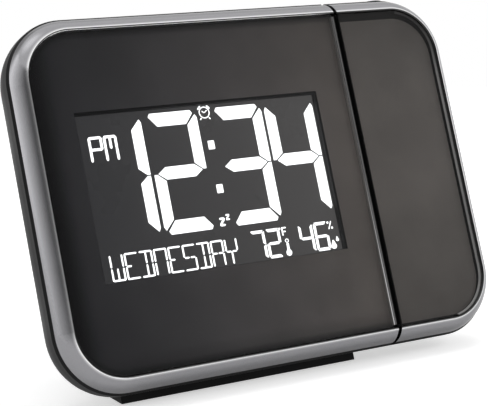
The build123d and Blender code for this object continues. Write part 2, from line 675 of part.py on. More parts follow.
def rear_housing():
    shape = trim_x(shell_outer(), -FAR, BODY_X1)
    tub = shell_half(-FAR, BODY_X1, -FAR, BODY_IN, BODY_IN, BODY_X1)
    bosses = join(*[TO_CLOCK * boss for boss in foot_bosses()])
    collar = rod_y(BUZZER_X, BUZZER_Z, BUZZER_R + 1.2, BACK_IN - 1.6, BACK_IN)
    collar = collar - rod_y(BUZZER_X, BUZZER_Z, BUZZER_R + SEAT, BACK_IN - 2, BACK_IN)
    posts = case_posts(BODY_SCREWS, shape)
    extras = [battery_bay(), posts, snooze_shelves() & shape, bosses & shape, collar]
    for x, z in BUTTON_BOARD_SCREWS:
        extras.append(rod_y(x, z, 2.2, SWITCH_Y + SEAT, BACK_IN))
    for side in (-1, 1):
        extras.append(rod_y(SENSOR_X + 6.5 * side, SENSOR_Z, 1.8, SENSOR_Y + 1 + SEAT, BACK_IN + 0.5))
    tub = join(tub, *[extra & shape for extra in extras])
    cuts = battery_bay_cuts() + sound_holes() + vent_slots()
    cuts.append(rod_x(PIVOT_Y, PIVOT_Z, SHAFT_R + FIT + BUSH_WALL + FIT, BODY_IN - 1, BODY_X1 + 1))
    cuts.append(snooze_opening())
    cuts.append(rod_y(JACK_X, JACK_Z, JACK_BORE_R + 1.0, BACK_IN - 1, SHELL_DEPTH + 1))
    for x in BUTTON_XS:
        half_w = BUTTON_W / 2 + 0.25
        half_h = BUTTON_H / 2 + 0.25
        low, high = BUTTON_Z - half_h, BUTTON_Z + half_h
        cuts.append(block(x - half_w, x + half_w, BACK_IN - 1, SHELL_DEPTH + 1, low, high))
    for x, z in BODY_SCREWS:
        cuts.append(rod_y(x, z, SCREW_HEAD_R + 0.2, CASE_SEAT_Y, SHELL_DEPTH + 1))
        cuts.append(rod_y(x, z, SCREW_R + 0.2, CASE_JOINT_Y - 1, CASE_SEAT_Y + 1))
    for x, z in BUTTON_BOARD_SCREWS:
        cuts.append(rod_y(x, z, SMALL_SCREW_R + FIT, SWITCH_Y - 1, SWITCH_Y + 4))
    for x in FOOT_SCREW_X:
        cuts.append(TO_CLOCK * rod_z(x, FOOT_SCREW_Y, SCREW_R + FIT, -1, FOOT_SCREW_Z + 7.5))
    for cut in cuts:
        tub = tub - cut
    return tub


# ---- battery, contacts and door -------------------------------------------------------------
def battery_cells():
    """Two cells side by side, the second turned end for end."""
    cells = []
    for index, z in enumerate(CELL_ZS):
        body = rod_x(CELL_Y, z, CELL_R, 0, CELL_L)
        body = fillet(body.edges(), 0.5)
        nub = rod_x(CELL_Y, z, 1.9, CELL_L - 0.5, CELL_L + CELL_NUB)
        cell = body + nub
        if index == 1:
            middle = (CELL_L + CELL_NUB) / 2
            cell = Pos(middle, CELL_Y, z) * Rot(0, 180, 0) * Pos(-middle, -CELL_Y, -z) * cell
            cell = Pos(BAY_X0 + 0.6, 0, 0) * cell
        else:
            cell = Pos(CELL_X0, 0, 0) * cell
        cells.append(cell)
    return cells


def battery_springs():
    """Springs on the cells' flat ends."""
    room = CELL_X0 - BAY_X0 - 0.6
    spring = coil(3.0, 0.35, room - 0.7, 3.5)
    low = Pos(BAY_X0 + 0.85, CELL_Y, CELL_ZS[0]) * Rot(0, 90, 0) * spring
    high = Pos(BAY_X1 - 0.85, CELL_Y, CELL_ZS[1]) * Rot(0, -90, 0) * spring
    return [low, high]


def battery_plates():
    plates = []
    for x0, x1 in ((BAY_X0 + 0.05, BAY_X0 + 0.45), (BAY_X1 - 0.45, BAY_X1 - 0.05)):
        for z in CELL_ZS:
            plates.append(block(x0, x1, CELL_Y - 4.4, CELL_Y + 4.4, z - 4.4, z + 4.4))
    return plates


def battery_door():
    door = block(DOOR_X0, DOOR_X1, LEDGE_Y + DOOR_CREEP, SHELL_DEPTH, DOOR_Z0, DOOR_Z1)
    door = fillet(door.edges().filter_by(Axis.Y), 0.8)
    middle = (DOOR_X0 + DOOR_X1) / 2
    notch = block(middle - 6, middle + 6, LEDGE_Y - 1, SHELL_DEPTH + 1, DOOR_Z1 - 1.2, DOOR_Z1 + 1)
    door = door - notch
    for offset in (-7.2, 7.2):
        cut_x = middle + offset
        door = door - block(cut_x - 0.4, cut_x + 0.4, LEDGE_Y - 1, SHELL_DEPTH + 1, DOOR_Z1 - 7, DOOR_Z1 + 1)
    for index in range(4):
        z = DOOR_Z1 - 3 - 1.4 * index
        ridge = block(middle - 4.5, middle + 4.5, SHELL_DEPTH - 0.5, SHELL_DEPTH + 0.4, z - 0.3, z + 0.3)
        door = door + ridge
    for x in TAB_X:
        x0, x1, root_z = x - TAB_W / 2, x + TAB_W / 2, DOOR_Z0 + 1.7
        root = block(x0, x1, LEDGE_Y - 1.5, LEDGE_Y + 0.2, DOOR_Z0 + 0.5, root_z)
        hook = block(x0, x1, LEDGE_Y - 1.5, LEDGE_Y - 0.4, DOOR_Z0 - 1.6, root_z)
        door = join(door, root, hook)
    return door


# ---- rear buttons ---------------------------------------------------------------------------
def rear_button(x):
    cap = block(
        x - BUTTON_W / 2, x + BUTTON_W / 2, BUTTON_FLANGE_Y, SHELL_DEPTH + BUTTON_PROUD,
        BUTTON_Z - BUTTON_H / 2, BUTTON_Z + BUTTON_H / 2,
    )
    cap = fillet(cap.edges().filter_by(Axis.Y), 1.0)
    cap = fillet(cap.faces().sort_by(Axis.Y)[-1].edges(), 0.4)
    half_w = BUTTON_W / 2 + 1
    half_h = BUTTON_H / 2 + 1
    flange_y1 = BACK_IN - 0.2
    flange = block(x - half_w, x + half_w, BUTTON_FLANGE_Y, flange_y1, BUTTON_Z - half_h, BUTTON_Z + half_h)
    post = rod_y(x, BUTTON_Z, STEM_R, STEM_Y - 1.2, BUTTON_FLANGE_Y + 0.2)
    return join(cap, flange, post)


def tact_switch():
    """A square tact switch standing on Z = 0, with the bore that a button's post slides in."""
    case = Pos(0, 0, SWITCH_H / 2) * Box(SWITCH_SIZE, SWITCH_SIZE, SWITCH_H)
    case = chamfer(case.edges().filter_by(Axis.Z), 0.5)
    bore = Pos(0, 0, SWITCH_H) * Cylinder(STEM_R + 0.1, 2 * SWITCH_BORE)
    return case - bore


def tact_switches():
    """One switch for each rear button and one for the snooze bar."""
    at_back = Rot(-90, 0, 0) * tact_switch()
    switches = [Pos(x, SWITCH_Y, BUTTON_Z) * at_back for x in BUTTON_XS]
    switches.append(Pos(SNOOZE_MID_X, SNOOZE_MID_Y, SNOOZE_SWITCH_Z) * tact_switch())
    return switches


def button_board():
    board = block(BUTTON_BOARD_X0, BUTTON_BOARD_X1, BUTTON_BOARD_Y, SWITCH_Y, BUTTON_Z - 6, BUTTON_Z + 8)
    board = fillet(board.edges().filter_by(Axis.Y), 1.5)
    for x, z in BUTTON_BOARD_SCREWS:
        board = board - rod_y(x, z, SMALL_SCREW_R + 0.25, BUTTON_BOARD_Y - 1, SWITCH_Y + 1)
    return board


# ---- snooze bar -----------------------------------------------------------------------------
def snooze_bar():
    """The bar follows the shell's round, stands a little proud of it and has a flange inside."""
    crown = shell_form(
        SHELL_OUT + SNOOZE_PROUD, PARTING_Y, SHELL_DEPTH + SNOOZE_PROUD, SHELL_ROUND + SNOOZE_PROUD,
    )
    stick = block(SNOOZE_X0, SNOOZE_X1, SNOOZE_Y0, SNOOZE_Y1, SNOOZE_UNDER, CREST_H + 20)
    stick = fillet(stick.edges().filter_by(Axis.Z), 1.2)
    bar = crown & stick
    flange = block(
        SNOOZE_X0 - SNOOZE_FLANGE, BODY_IN - 0.25, SNOOZE_Y0 - SNOOZE_FLANGE, SNOOZE_Y1 + SNOOZE_FLANGE,
        SNOOZE_UNDER, SNOOZE_FLANGE_TOP,
    )
    pins = [rod_z(x, SNOOZE_MID_Y, 1.1, SNOOZE_UNDER - 3, SNOOZE_UNDER + 0.5) for x in SNOOZE_SPRINGS]
    post = rod_z(SNOOZE_MID_X, SNOOZE_MID_Y, STEM_R, SNOOZE_POST_Z, SNOOZE_UNDER + 0.5)
    return join(bar, flange, post, *pins)


def snooze_springs():
    length = SNOOZE_UNDER - SHELF_TOP - 0.6
    one = coil(1.75, 0.25, length - 0.3, 4)
    return [Pos(x, SNOOZE_MID_Y, SHELF_TOP + 0.4) * one for x in SNOOZE_SPRINGS]


def snooze_board():
    x = SNOOZE_MID_X
    z = SHELF_TOP + SEAT
    return block(x - 8, x + 8, SNOOZE_MID_Y - 4.5, SNOOZE_MID_Y + 6, z, z + BOARD_T)


# ---- buzzer, sensor, power inlet ------------------------------------------------------------
def piezo_buzzer():
    disc = rod_y(BUZZER_X, BUZZER_Z, BUZZER_R, BACK_IN - 0.9, BACK_IN - 0.5)
    ceramic = rod_y(BUZZER_X, BUZZER_Z, BUZZER_R - 3, BACK_IN - 1.2, BACK_IN - 0.9)
    rim = rod_y(BUZZER_X, BUZZER_Z, BUZZER_R, BACK_IN - 0.5, BACK_IN - 0.05)
    rim = rim - rod_y(BUZZER_X, BUZZER_Z, BUZZER_R - 0.8, BACK_IN - 0.5, BACK_IN)
    return join(disc, ceramic, rim)


def sensor_board():
    board = block(SENSOR_X - 8.5, SENSOR_X + 8.5, SENSOR_Y, SENSOR_Y + 1, SENSOR_Z - 6, SENSOR_Z + 6)
    return fillet(board.edges().filter_by(Axis.Y), 1)


def climate_sensor():
    case = Pos(SENSOR_X, SENSOR_Y + 1.56, SENSOR_Z) * Box(3, 1.08, 3)
    port = rod_y(SENSOR_X, SENSOR_Z, 0.6, SENSOR_Y + 1.8, SENSOR_Y + 3)
    return case - port


def power_inlet():
    case = block(
        JACK_X - JACK_W / 2, JACK_X + JACK_W / 2, JACK_Y0, BACK_IN - SEAT,
        JACK_Z - JACK_H / 2, JACK_Z + JACK_H / 2,
    )
    nose = rod_y(JACK_X, JACK_Z, JACK_BORE_R + 0.9, BACK_IN - 1, JACK_Y1)
    bore = rod_y(JACK_X, JACK_Z, JACK_BORE_R, JACK_Y1 - 10, JACK_Y1 + 1)
    return case + nose - bore


def power_pin():
    pin = rod_y(JACK_X, JACK_Z, JACK_PIN_R, JACK_Y1 - 10, JACK_Y1 - 0.8)
    return fillet(pin.edges().sort_by(Axis.Y)[-1], 0.5)


# ---- pivot ----------------------------------------------------------------------------------
def pivot_bush():
    sleeve = rod_x(PIVOT_Y, PIVOT_Z, SHAFT_R + FIT + BUSH_WALL, BUSH_X0, BODY_X1 + 0.05)
    flange = rod_x(PIVOT_Y, PIVOT_Z, BUSH_FLANGE_R, BODY_X1 + 0.05, ARM_X0 - LOOSE)
    return sleeve + flange - rod_x(PIVOT_Y, PIVOT_Z, SHAFT_R + FIT, BUSH_X0 - 1, ARM_X0)


def pivot_shaft():
    tube = rod_x(PIVOT_Y, PIVOT_Z, SHAFT_R, SHAFT_X0, ARM_IN + SEAT)
    flange = rod_x(PIVOT_Y, PIVOT_Z, SHAFT_FLANGE_R, ARM_IN + SEAT, ARM_IN + SEAT + SHAFT_FLANGE_T)
    shaft = tube + flange - rod_x(PIVOT_Y, PIVOT_Z, SHAFT_BORE_R, SHAFT_X0 - 1, ARM_IN + 9)
    groove = rod_x(PIVOT_Y, PIVOT_Z, SHAFT_R + 1, CLIP_X0 - 0.05, CLIP_X1 + 0.05)
    groove = groove - rod_x(PIVOT_Y, PIVOT_Z, SHAFT_R - GROOVE_DEPTH, CLIP_X0 - 1, CLIP_X1 + 1)
    shaft = shaft - groove
    for side in (-1, 1):
        screw_z = PIVOT_Z + PIVOT_SCREW_Z * side
        shaft = shaft - rod_x(PIVOT_Y, screw_z, SMALL_SCREW_R + FIT, ARM_IN - 1, ARM_IN + 9)
    return shaft


def friction_washer():
    """A dished spring washer between the end wall and the clip."""
    inner = SHAFT_R + 0.2
    outer = SHAFT_R + PIVOT_FLANGE_W
    dish = WASHER_X1 - WASHER_X0 - WASHER_T
    section = Polygon(
        (inner, 0), (outer, dish), (outer, dish + WASHER_T), (inner, WASHER_T), align=None,
    )
    ring = revolve(Plane.XZ * section, Axis.Z)
    return Pos(WASHER_X0, PIVOT_Y, PIVOT_Z) * Rot(0, 90, 0) * ring


def retaining_clip():
    """An open ring that snaps into the shaft's groove."""
    ring = rod_x(PIVOT_Y, PIVOT_Z, SHAFT_R + PIVOT_FLANGE_W - 0.2, CLIP_X0, CLIP_X1)
    ring = ring - rod_x(PIVOT_Y, PIVOT_Z, SHAFT_R - GROOVE_DEPTH + 0.05, CLIP_X0 - 1, CLIP_X1 + 1)
    mouth = block(CLIP_X0 - 1, CLIP_X1 + 1, PIVOT_Y - 2.6, PIVOT_Y + 2.6, PIVOT_Z, PIVOT_Z + 12)
    return ring - mouth


def pivot_screws():
    one = Rot(0, 90, 0) * screw(SHAFT_FLANGE_T + 1.6, SMALL_SCREW_R, 1.1, SMALL_HEAD_T)
    x = ARM_IN + SEAT + SHAFT_FLANGE_T
    return [Pos(x, PIVOT_Y, PIVOT_Z + PIVOT_SCREW_Z * side) * one for side in (-1, 1)]


def pivot_lead():
    """The wires to the arm, bound in one round sleeve along the pivot's axis."""
    return rod_x(PIVOT_Y, PIVOT_Z, LEAD_R, HEADER_X1 - 1.4, SOCKET_X0 + 1.6)


def lead_header():
    """The connector that stands on the edge of the main board and faces the shaft."""
    foot = block(HEADER_X1 - 9, HEADER_X1, BOARD_BACK + 0.05, PIVOT_Y + 3.6, PIVOT_Z - 3.2, PIVOT_Z + 3.2)
    head = block(HEADER_X1 - 3, HEADER_X1, PIVOT_Y - 3.2, PIVOT_Y + 3.6, PIVOT_Z - 3.2, PIVOT_Z + 3.2)
    return foot + head - rod_x(PIVOT_Y, PIVOT_Z, LEAD_R + FIT, HEADER_X1 - 1.5, HEADER_X1 + 1)


def lead_socket():
    """The connector on the arm's board, round the lead's end."""
    box = block(
        SOCKET_X0, SOCKET_X0 + 6, PIVOT_Y - 3.4, ARM_BOARD_Y - 0.05, PIVOT_Z - 3.4, PIVOT_Z + 3.4,
    )
    return box - rod_x(PIVOT_Y, PIVOT_Z, LEAD_R + FIT, SOCKET_X0 - 1, SOCKET_X0 + 1.8)


# ---- arm ------------------------------------------------------------------------------------
def arm_shell():
    shape = trim_x(shell_outer(), ARM_X0, FAR)
    tub = shell_half(ARM_X0, FAR, ARM_IN, FAR, ARM_X0, ARM_IN)
    ears = [rod_y(LENS_X + side * CHASSIS_EAR_X, CHASSIS_EAR_Z, 2.2, CHASSIS_EAR_Y + SEAT, BACK_IN + 1)
            for side in (-1, 1)]
    posts = [rod_y(x, z, 2.0, ARM_BOARD_Y + BOARD_T + SEAT, BACK_IN + 1) for x, z in ARM_BOARD_SCREWS]
    tub = join(tub, case_posts(ARM_SCREWS, shape), *[piece & shape for piece in ears + posts])
    cuts = [rod_x(PIVOT_Y, PIVOT_Z, SHAFT_R + FIT, ARM_X0 - 1, ARM_IN + 1)]
    for side in (-1, 1):
        screw_z = PIVOT_Z + PIVOT_SCREW_Z * side
        cuts.append(rod_x(PIVOT_Y, screw_z, SMALL_SCREW_R + FIT, ARM_X0 + 0.3, ARM_IN + 1))
        x = LENS_X + side * CHASSIS_EAR_X
        cuts.append(rod_y(x, CHASSIS_EAR_Z, SMALL_SCREW_R + FIT, CHASSIS_EAR_Y - 1, CHASSIS_EAR_Y + 3))
    for x, z in ARM_BOARD_SCREWS:
        cuts.append(rod_y(x, z, SMALL_SCREW_R + FIT, ARM_BOARD_Y, ARM_BOARD_Y + BOARD_T + 3))
    for x, z in ARM_SCREWS:
        cuts.append(rod_y(x, z, SCREW_HEAD_R + 0.2, CASE_SEAT_Y, SHELL_DEPTH + 1))
        cuts.append(rod_y(x, z, SCREW_R + 0.2, CASE_JOINT_Y - 1, CASE_SEAT_Y + 1))
    cuts.append(rod_z(LENS_X, LENS_Y, RING_R + LOOSE, CREST_H - 8, CREST_H + 20))
    for cut in cuts:
        tub = tub - cut
    return tub


def optical_chassis():
    """Square tube that holds the LED, the condenser, the small LCD and the barrel's guide."""
    half = CHASSIS / 2
    tube = block(LENS_X - half, LENS_X + half, LENS_Y - half, LENS_Y + half, CHASSIS_Z, CHASSIS_TOP)
    room = half - CHASSIS_WALL
    cavity = block(LENS_X - room, LENS_X + room, LENS_Y - room, LENS_Y + room, CHASSIS_Z - 1, GUIDE_TUBE_Z)
    seats = []
    for z in (CONDENSER_Z - 1.2, IMAGER_Z - 1.2):
        ring = block(LENS_X - room, LENS_X + room, LENS_Y - room, LENS_Y + room, z, z + 1.1)
        seats.append(ring - rod_z(LENS_X, LENS_Y, 5.2, z - 1, z + 2))
    guide = rod_z(LENS_X, LENS_Y, BARREL_R + 0.1, GUIDE_TUBE_Z - 1, CHASSIS_TOP + 1)
    ears = []
    for side in (-1, 1):
        x = LENS_X + side * CHASSIS_EAR_X
        x_in = LENS_X + side * (half - 0.5)
        low, high = CHASSIS_EAR_Z - 2.2, CHASSIS_EAR_Z + 2.2
        ear = block(min(x, x_in), max(x, x_in), CHASSIS_EAR_Y - 1.8, CHASSIS_EAR_Y, low, high)
        ear = ear + rod_y(x, CHASSIS_EAR_Z, 2.2, CHASSIS_EAR_Y - 1.8, CHASSIS_EAR_Y)
        ears.append(ear - rod_y(x, CHASSIS_EAR_Z, SMALL_SCREW_R + 0.2, 0, 30))
    key_y = LENS_Y - BARREL_R - 1.2
    key = block(LENS_X - 0.8, LENS_X + 0.8, key_y, LENS_Y, GUIDE_TUBE_Z - 1, CHASSIS_TOP + 1)
    return join(tube - cavity - guide - key, *seats, *ears)


def chassis_screws():
    one = Rot(90, 0, 0) * screw(4.2, SMALL_SCREW_R, SMALL_HEAD_R + 0.3, SMALL_HEAD_T)
    return [Pos(LENS_X + side * CHASSIS_EAR_X, CHASSIS_EAR_Y - 1.8, CHASSIS_EAR_Z) * one for side in (-1, 1)]


def led_board():
    return Pos(LENS_X, LENS_Y, LED_BOARD_Z + BOARD_T / 2) * Box(CHASSIS, CHASSIS, BOARD_T)


def projector_led():
    base = LED_BOARD_Z + BOARD_T + 0.02
    can = rod_z(LENS_X, LENS_Y, 2.5, base, base + 2.6)
    dome = Pos(LENS_X, LENS_Y, base + 2.6) * Sphere(2.5)
    return can + (dome & block(LENS_X - 3, LENS_X + 3, LENS_Y - 3, LENS_Y + 3, base + 2.6, base + 6))


def convex_lens(radius, edge_t, bulge):
    """A plano-convex lens with its flat on Z = 0."""
    curve_r = (radius**2 + bulge**2) / (2 * bulge)
    edge = Pos(0, 0, edge_t / 2) * Cylinder(radius, edge_t)
    ball = Pos(0, 0, edge_t + bulge - curve_r) * Sphere(curve_r)
    cap = ball & (Pos(0, 0, edge_t + bulge) * Cylinder(radius, 2 * bulge))
    return edge + cap


def condenser_lens():
    return Pos(LENS_X, LENS_Y, CONDENSER_Z) * convex_lens(CHASSIS / 2 - CHASSIS_WALL - SEAT, 1.0, 2.6)


def projector_lcd():
    room = CHASSIS / 2 - CHASSIS_WALL - SEAT
    return block(LENS_X - room, LENS_X + room, LENS_Y - room, LENS_Y + room, IMAGER_Z, IMAGER_Z + 1.6)


def lens_barrel():
    """The barrel slides in the chassis and is kept from turning by its key."""
    tube = rod_z(LENS_X, LENS_Y, BARREL_R, BARREL_Z0, BARREL_Z1)
    tube = tube - rod_z(LENS_X, LENS_Y, BARREL_R - BARREL_WALL, BARREL_Z0 - 1, BARREL_Z1 + 1)
    stop = rod_z(LENS_X, LENS_Y, BARREL_R - 0.1, BARREL_Z1 - 4.4, BARREL_Z1 - 3.6)
    stop = stop - rod_z(LENS_X, LENS_Y, BARREL_R - BARREL_WALL - 0.6, BARREL_Z1 - 5, BARREL_Z1 - 3)
    key = block(
        LENS_X - 0.6, LENS_X + 0.6, LENS_Y - BARREL_R - 0.9, LENS_Y - BARREL_R + 0.3,
        BARREL_Z0, BARREL_Z0 + 6,
    )
    return join(tube, stop, key)


def projection_lens():
    return Pos(LENS_X, LENS_Y, BARREL_Z1 - 3.6) * convex_lens(BARREL_R - BARREL_WALL - 0.03, 1.2, 1.5)


def focus_ring():
    """The ring that is turned to focus: knurled above the shell, flanged below it."""
    neck = rod_z(LENS_X, LENS_Y, RING_R, RING_FLANGE_Z - RING_FLANGE_T, RING_TOP)
    neck = chamfer(neck.edges().sort_by(Axis.Z)[-1], 0.5)
    flange = rod_z(LENS_X, LENS_Y, RING_FLANGE_R, RING_FLANGE_Z - RING_FLANGE_T, RING_FLANGE_Z)
    ring = neck + flange
    ring = ring - rod_z(LENS_X, LENS_Y, BARREL_R + 0.1, RING_FLANGE_Z - 5, RING_TOP - 1.2)
    mouth = Pos(LENS_X, LENS_Y, RING_TOP - 0.6) * Cone(BARREL_R - 0.4, BARREL_R + 0.5, 1.2)
    ring = ring - mouth
    flutes = 24
    for index in range(flutes):
        angle = 2 * pi * index / flutes
        x = LENS_X + (RING_R + 0.35) * cos(angle)
        y = LENS_Y + (RING_R + 0.35) * sin(angle)
        ring = ring - rod_z(x, y, 0.55, TOP_Z - 2.2, RING_TOP + 1)
    return ring


def arm_board():
    board = block(ARM_IN + 3.5, 78, ARM_BOARD_Y, ARM_BOARD_Y + BOARD_T, 26, LED_BOARD_Z - 0.2)
    board = fillet(board.edges().filter_by(Axis.Y), 1)
    for x, z in ARM_BOARD_SCREWS:
        board = board - rod_y(x, z, SMALL_SCREW_R + 0.25, 0, 30)
    return board


def arm_board_screws():
    one = Rot(90, 0, 0) * screw(BOARD_T + 2.6, SMALL_SCREW_R, SMALL_HEAD_R + 0.3, SMALL_HEAD_T)
    return [Pos(x, ARM_BOARD_Y, z) * one for x, z in ARM_BOARD_SCREWS]


# ---- foot, in the floor frame ---------------------------------------------------------------
def foot():
    """A bar with its front face parallel to the clock's face, hollowed to the shell's round."""
    base = RUBBER_PROUD
    saddle_y = HEEL_Y + SHELL_ROUND * 0.72
    profile = Polygon(
        (FOOT_Y0, base),
        (FOOT_Y0 + FOOT_RISE * LEAN_SIN / LEAN_COS, base + FOOT_RISE),
        (saddle_y, base + FOOT_RISE + 1.5),
        (saddle_y + 8, base + FOOT_T + 0.8),
        (FOOT_Y1 - 1, base + FOOT_T),
        (FOOT_Y1, base + FOOT_T - 1),
        (FOOT_Y1, base),
        align=None,
    )
    side_plane = Plane(origin=(FOOT_X0, 0, 0), x_dir=(0, 1, 0), z_dir=(1, 0, 0))
    bar = extrude(side_plane * profile, amount=FOOT_X1 - FOOT_X0, dir=(1, 0, 0))
    plan = Pos((FOOT_X0 + FOOT_X1) / 2, (FOOT_Y0 + FOOT_Y1) / 2) * Rectangle(FOOT_X1 - FOOT_X0, FOOT_L)
    rear_corners = plan.vertices().sort_by(Axis.Y)[-2:]
    plan = fillet(rear_corners, FOOT_CORNER)
    bar = bar & extrude(plan, amount=FAR)
    bar = bar - rod_x(HEEL_Y, HEEL_Z, SHELL_ROUND + SEAT, FOOT_X0 - 1, FOOT_X1 + 1)
    for x in FOOT_SCREW_X:
        bar = bar - rod_z(x, FOOT_SCREW_Y, SCREW_HEAD_R + 0.2, -1, FOOT_HEAD_Z + SCREW_HEAD_T)
        bar = bar - rod_z(x, FOOT_SCREW_Y, SCREW_R + 0.2, 0, 20)
    for y in RUBBER_YS:
        top = base + RUBBER_SUNK
        bar = bar - block(RUBBER_X0 - SEAT, RUBBER_X1 + SEAT, y - SEAT, y + RUBBER_W + SEAT, -1, top)
    return bar


def foot_screws():
    one = Rot(180, 0, 0) * screw(FOOT_SCREW_Z + 3.2, SCREW_R, SCREW_HEAD_R, SCREW_HEAD_T)
    return [Pos(x, FOOT_SCREW_Y, FOOT_HEAD_Z + SCREW_HEAD_T) * one for x in FOOT_SCREW_X]


def rubber_strips():
    strips = []
    for y in RUBBER_YS:
        strip = block(RUBBER_X0, RUBBER_X1, y, y + RUBBER_W, 0, RUBBER_PROUD + RUBBER_SUNK - 0.02)
        strips.append(fillet(strip.edges().filter_by(Axis.Z), 1.2))
    return strips


# ---- assembly -------------------------------------------------------------------------------
def clock_pieces():
    """Every piece, by node name, in the clock frame."""
    pieces = {
        "body_bezel": [bezel_band(BODY_X1, -1)],
        "display_lens": [lens_panel(-FAR, BODY_X1 - BODY_LENS_END)],
        "front_frame": [body_front_frame()],
        "lcd_glass": [lcd_glass()],
        "light_guide": [light_guide()],
        "backlight_leds": backlight_strip(),
        "zebra_strip": [zebra_strip()],
        "lcd_holder": [lcd_holder()],
        "main_board": [main_board()],
        "board_screws": board_screws(),
        "controller_chip": [controller_chip()],
        "quartz_crystal": [quartz_crystal()],
        "rear_housing": [rear_housing()],
        "housing_screws": case_screws(BODY_SCREWS),
        "battery_cells": battery_cells(),
        "battery_springs": battery_springs(),
        "battery_plates": battery_plates(),
        "battery_door": [battery_door()],
        "button_board": [button_board()],
        "tact_switches": tact_switches(),
        "snooze_bar": [snooze_bar()],
        "snooze_springs": snooze_springs(),
        "snooze_board": [snooze_board()],
        "piezo_buzzer": [piezo_buzzer()],
        "sensor_board": [sensor_board()],
        "climate_sensor": [climate_sensor()],
        "power_inlet": [power_inlet()],
        "power_pin": [power_pin()],
        "pivot_bush": [pivot_bush()],
        "friction_washer": [friction_washer()],
        "retaining_clip": [retaining_clip()],
        "pivot_shaft": [pivot_shaft()],
        "pivot_screws": pivot_screws(),
        "pivot_lead": [pivot_lead()],
        "lead_header": [lead_header()],
        "lead_socket": [lead_socket()],
        "arm_bezel": [bezel_band(ARM_X0, 1)],
        "arm_face": [lens_panel(ARM_X0 + ARM_LENS_END, FAR)],
        "arm_front_frame": [arm_front_frame()],
        "arm_shell": [arm_shell()],
        "arm_screws": case_screws(ARM_SCREWS),
        "arm_board": [arm_board()],
        "arm_board_screws": arm_board_screws() + chassis_screws(),
        "optical_chassis": [optical_chassis()],
        "led_board": [led_board()],
        "projector_led": [projector_led()],
        "condenser_lens": [condenser_lens()],
        "projector_lcd": [projector_lcd()],
        "lens_barrel": [lens_barrel()],
        "projection_lens": [projection_lens()],
        "focus_ring": [focus_ring()],
    }
    for name, x in zip(BUTTONS, BUTTON_XS):
        pieces[name] = [rear_button(x)]
    return pieces


def floor_pieces():
    """The foot and what is on it, in the floor frame."""
    return {"foot": [foot()], "foot_screws": foot_screws(), "rubber_strips": rubber_strips()}


def solids_of(pieces, place):
    return [place * solid for piece in pieces for solid in piece.solids()]


def main():
    os.makedirs("parts", exist_ok=True)
    placed = {name: solids_of(pieces, TO_FLOOR) for name, pieces in clock_pieces().items()}
    placed.update({name: solids_of(pieces, Pos(0, 0, 0)) for name, pieces in floor_pieces().items()})
    box = Compound([solid for solids in placed.values() for solid in solids]).bounding_box()
    centre = Pos(-(box.min.X + box.max.X) / 2, -(box.min.Y + box.max.Y) / 2, -box.min.Z)
    print("box before centring", box.min, box.max)
    for name, solids in placed.items():
        moved = [centre * solid for solid in solids]
        shape = moved[0] if len(moved) == 1 else Compound(moved)
        export_step(shape, f"parts/{name}.step")


main()
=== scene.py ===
# %% [markdown]
# # A projection alarm clock
# The imported model gives every hard piece of the clock at its true size. These cells light it, set
# a camera, finish each surface, and add what a machine drawing leaves out: the lit display, the
# prints of the two windows with painted shade, their edges with painted light, the marks on two
# buttons, the bands round the cells, and springs wound again as coils.
# Lengths are in metres, but the clock's own sizes are written in millimetres, as on a drawing.

# %% Load the clock and note its size
import json
import math

import bmesh
import bpy
from mathutils import Matrix, Vector


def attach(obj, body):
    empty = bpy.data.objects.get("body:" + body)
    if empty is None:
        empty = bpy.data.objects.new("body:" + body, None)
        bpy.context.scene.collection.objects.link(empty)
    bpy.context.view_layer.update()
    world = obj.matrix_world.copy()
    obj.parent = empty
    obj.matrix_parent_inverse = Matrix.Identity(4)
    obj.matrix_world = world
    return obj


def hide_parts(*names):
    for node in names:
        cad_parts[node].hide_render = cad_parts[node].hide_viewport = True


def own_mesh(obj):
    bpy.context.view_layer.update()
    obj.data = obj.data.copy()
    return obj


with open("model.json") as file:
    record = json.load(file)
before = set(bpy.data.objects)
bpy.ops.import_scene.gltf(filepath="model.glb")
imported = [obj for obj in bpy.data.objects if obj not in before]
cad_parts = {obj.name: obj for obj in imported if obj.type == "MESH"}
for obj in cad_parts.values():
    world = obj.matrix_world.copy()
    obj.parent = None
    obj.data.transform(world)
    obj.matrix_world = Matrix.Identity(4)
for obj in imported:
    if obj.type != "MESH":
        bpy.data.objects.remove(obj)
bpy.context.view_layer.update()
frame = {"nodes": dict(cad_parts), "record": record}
NODES = frame["nodes"]

# %% [markdown]
# The clock leans back on its foot. Its face is easier to draw upright, so new pieces are made in
# the *clock frame*, in millimetres: X to the right, Y back from the bezel's crest and Z up the
# face. One matrix then leans them back, sets them on the floor and turns them into metres.

# %% The clock frame
LEAN = math.radians(19.0)
FLOOR_RISE = 12.35312
BACK_SHIFT = -29.9455
MM = 0.001
TO_WORLD = (
    Matrix.Scale(MM, 4)
    @ Matrix.Translation((0.0, BACK_SHIFT, FLOOR_RISE))
    @ Matrix.Rotation(-LEAN, 4, "X")
)
FACE_W = 160.0
FACE_H = 114.7
CORNER_R = 17.0
print("top of the face", TO_WORLD @ Vector((0, 0, FACE_H)))

# %% [markdown]
# ## Short calls
# Almost everything below is a mesh drawn with bmesh operators or a material made of linked nodes.
# A few short calls keep both readable. The most useful one adds a node and fills its inputs: an
# input takes a number, or the output of another node, which is then linked to it.


# %% Objects and nodes
def add_object(name, bm):
    """Turns a bmesh into an object of the scene."""
    mesh = bpy.data.meshes.new(name)
    bm.to_mesh(mesh)
    bm.free()
    made = bpy.data.objects.new(name, mesh)
    bpy.context.scene.collection.objects.link(made)
    return made


def empty_tree(owner):
    """The node tree of a material or a world, with nothing in it yet."""
    owner.use_nodes = True
    owner.node_tree.nodes.clear()
    return owner.node_tree


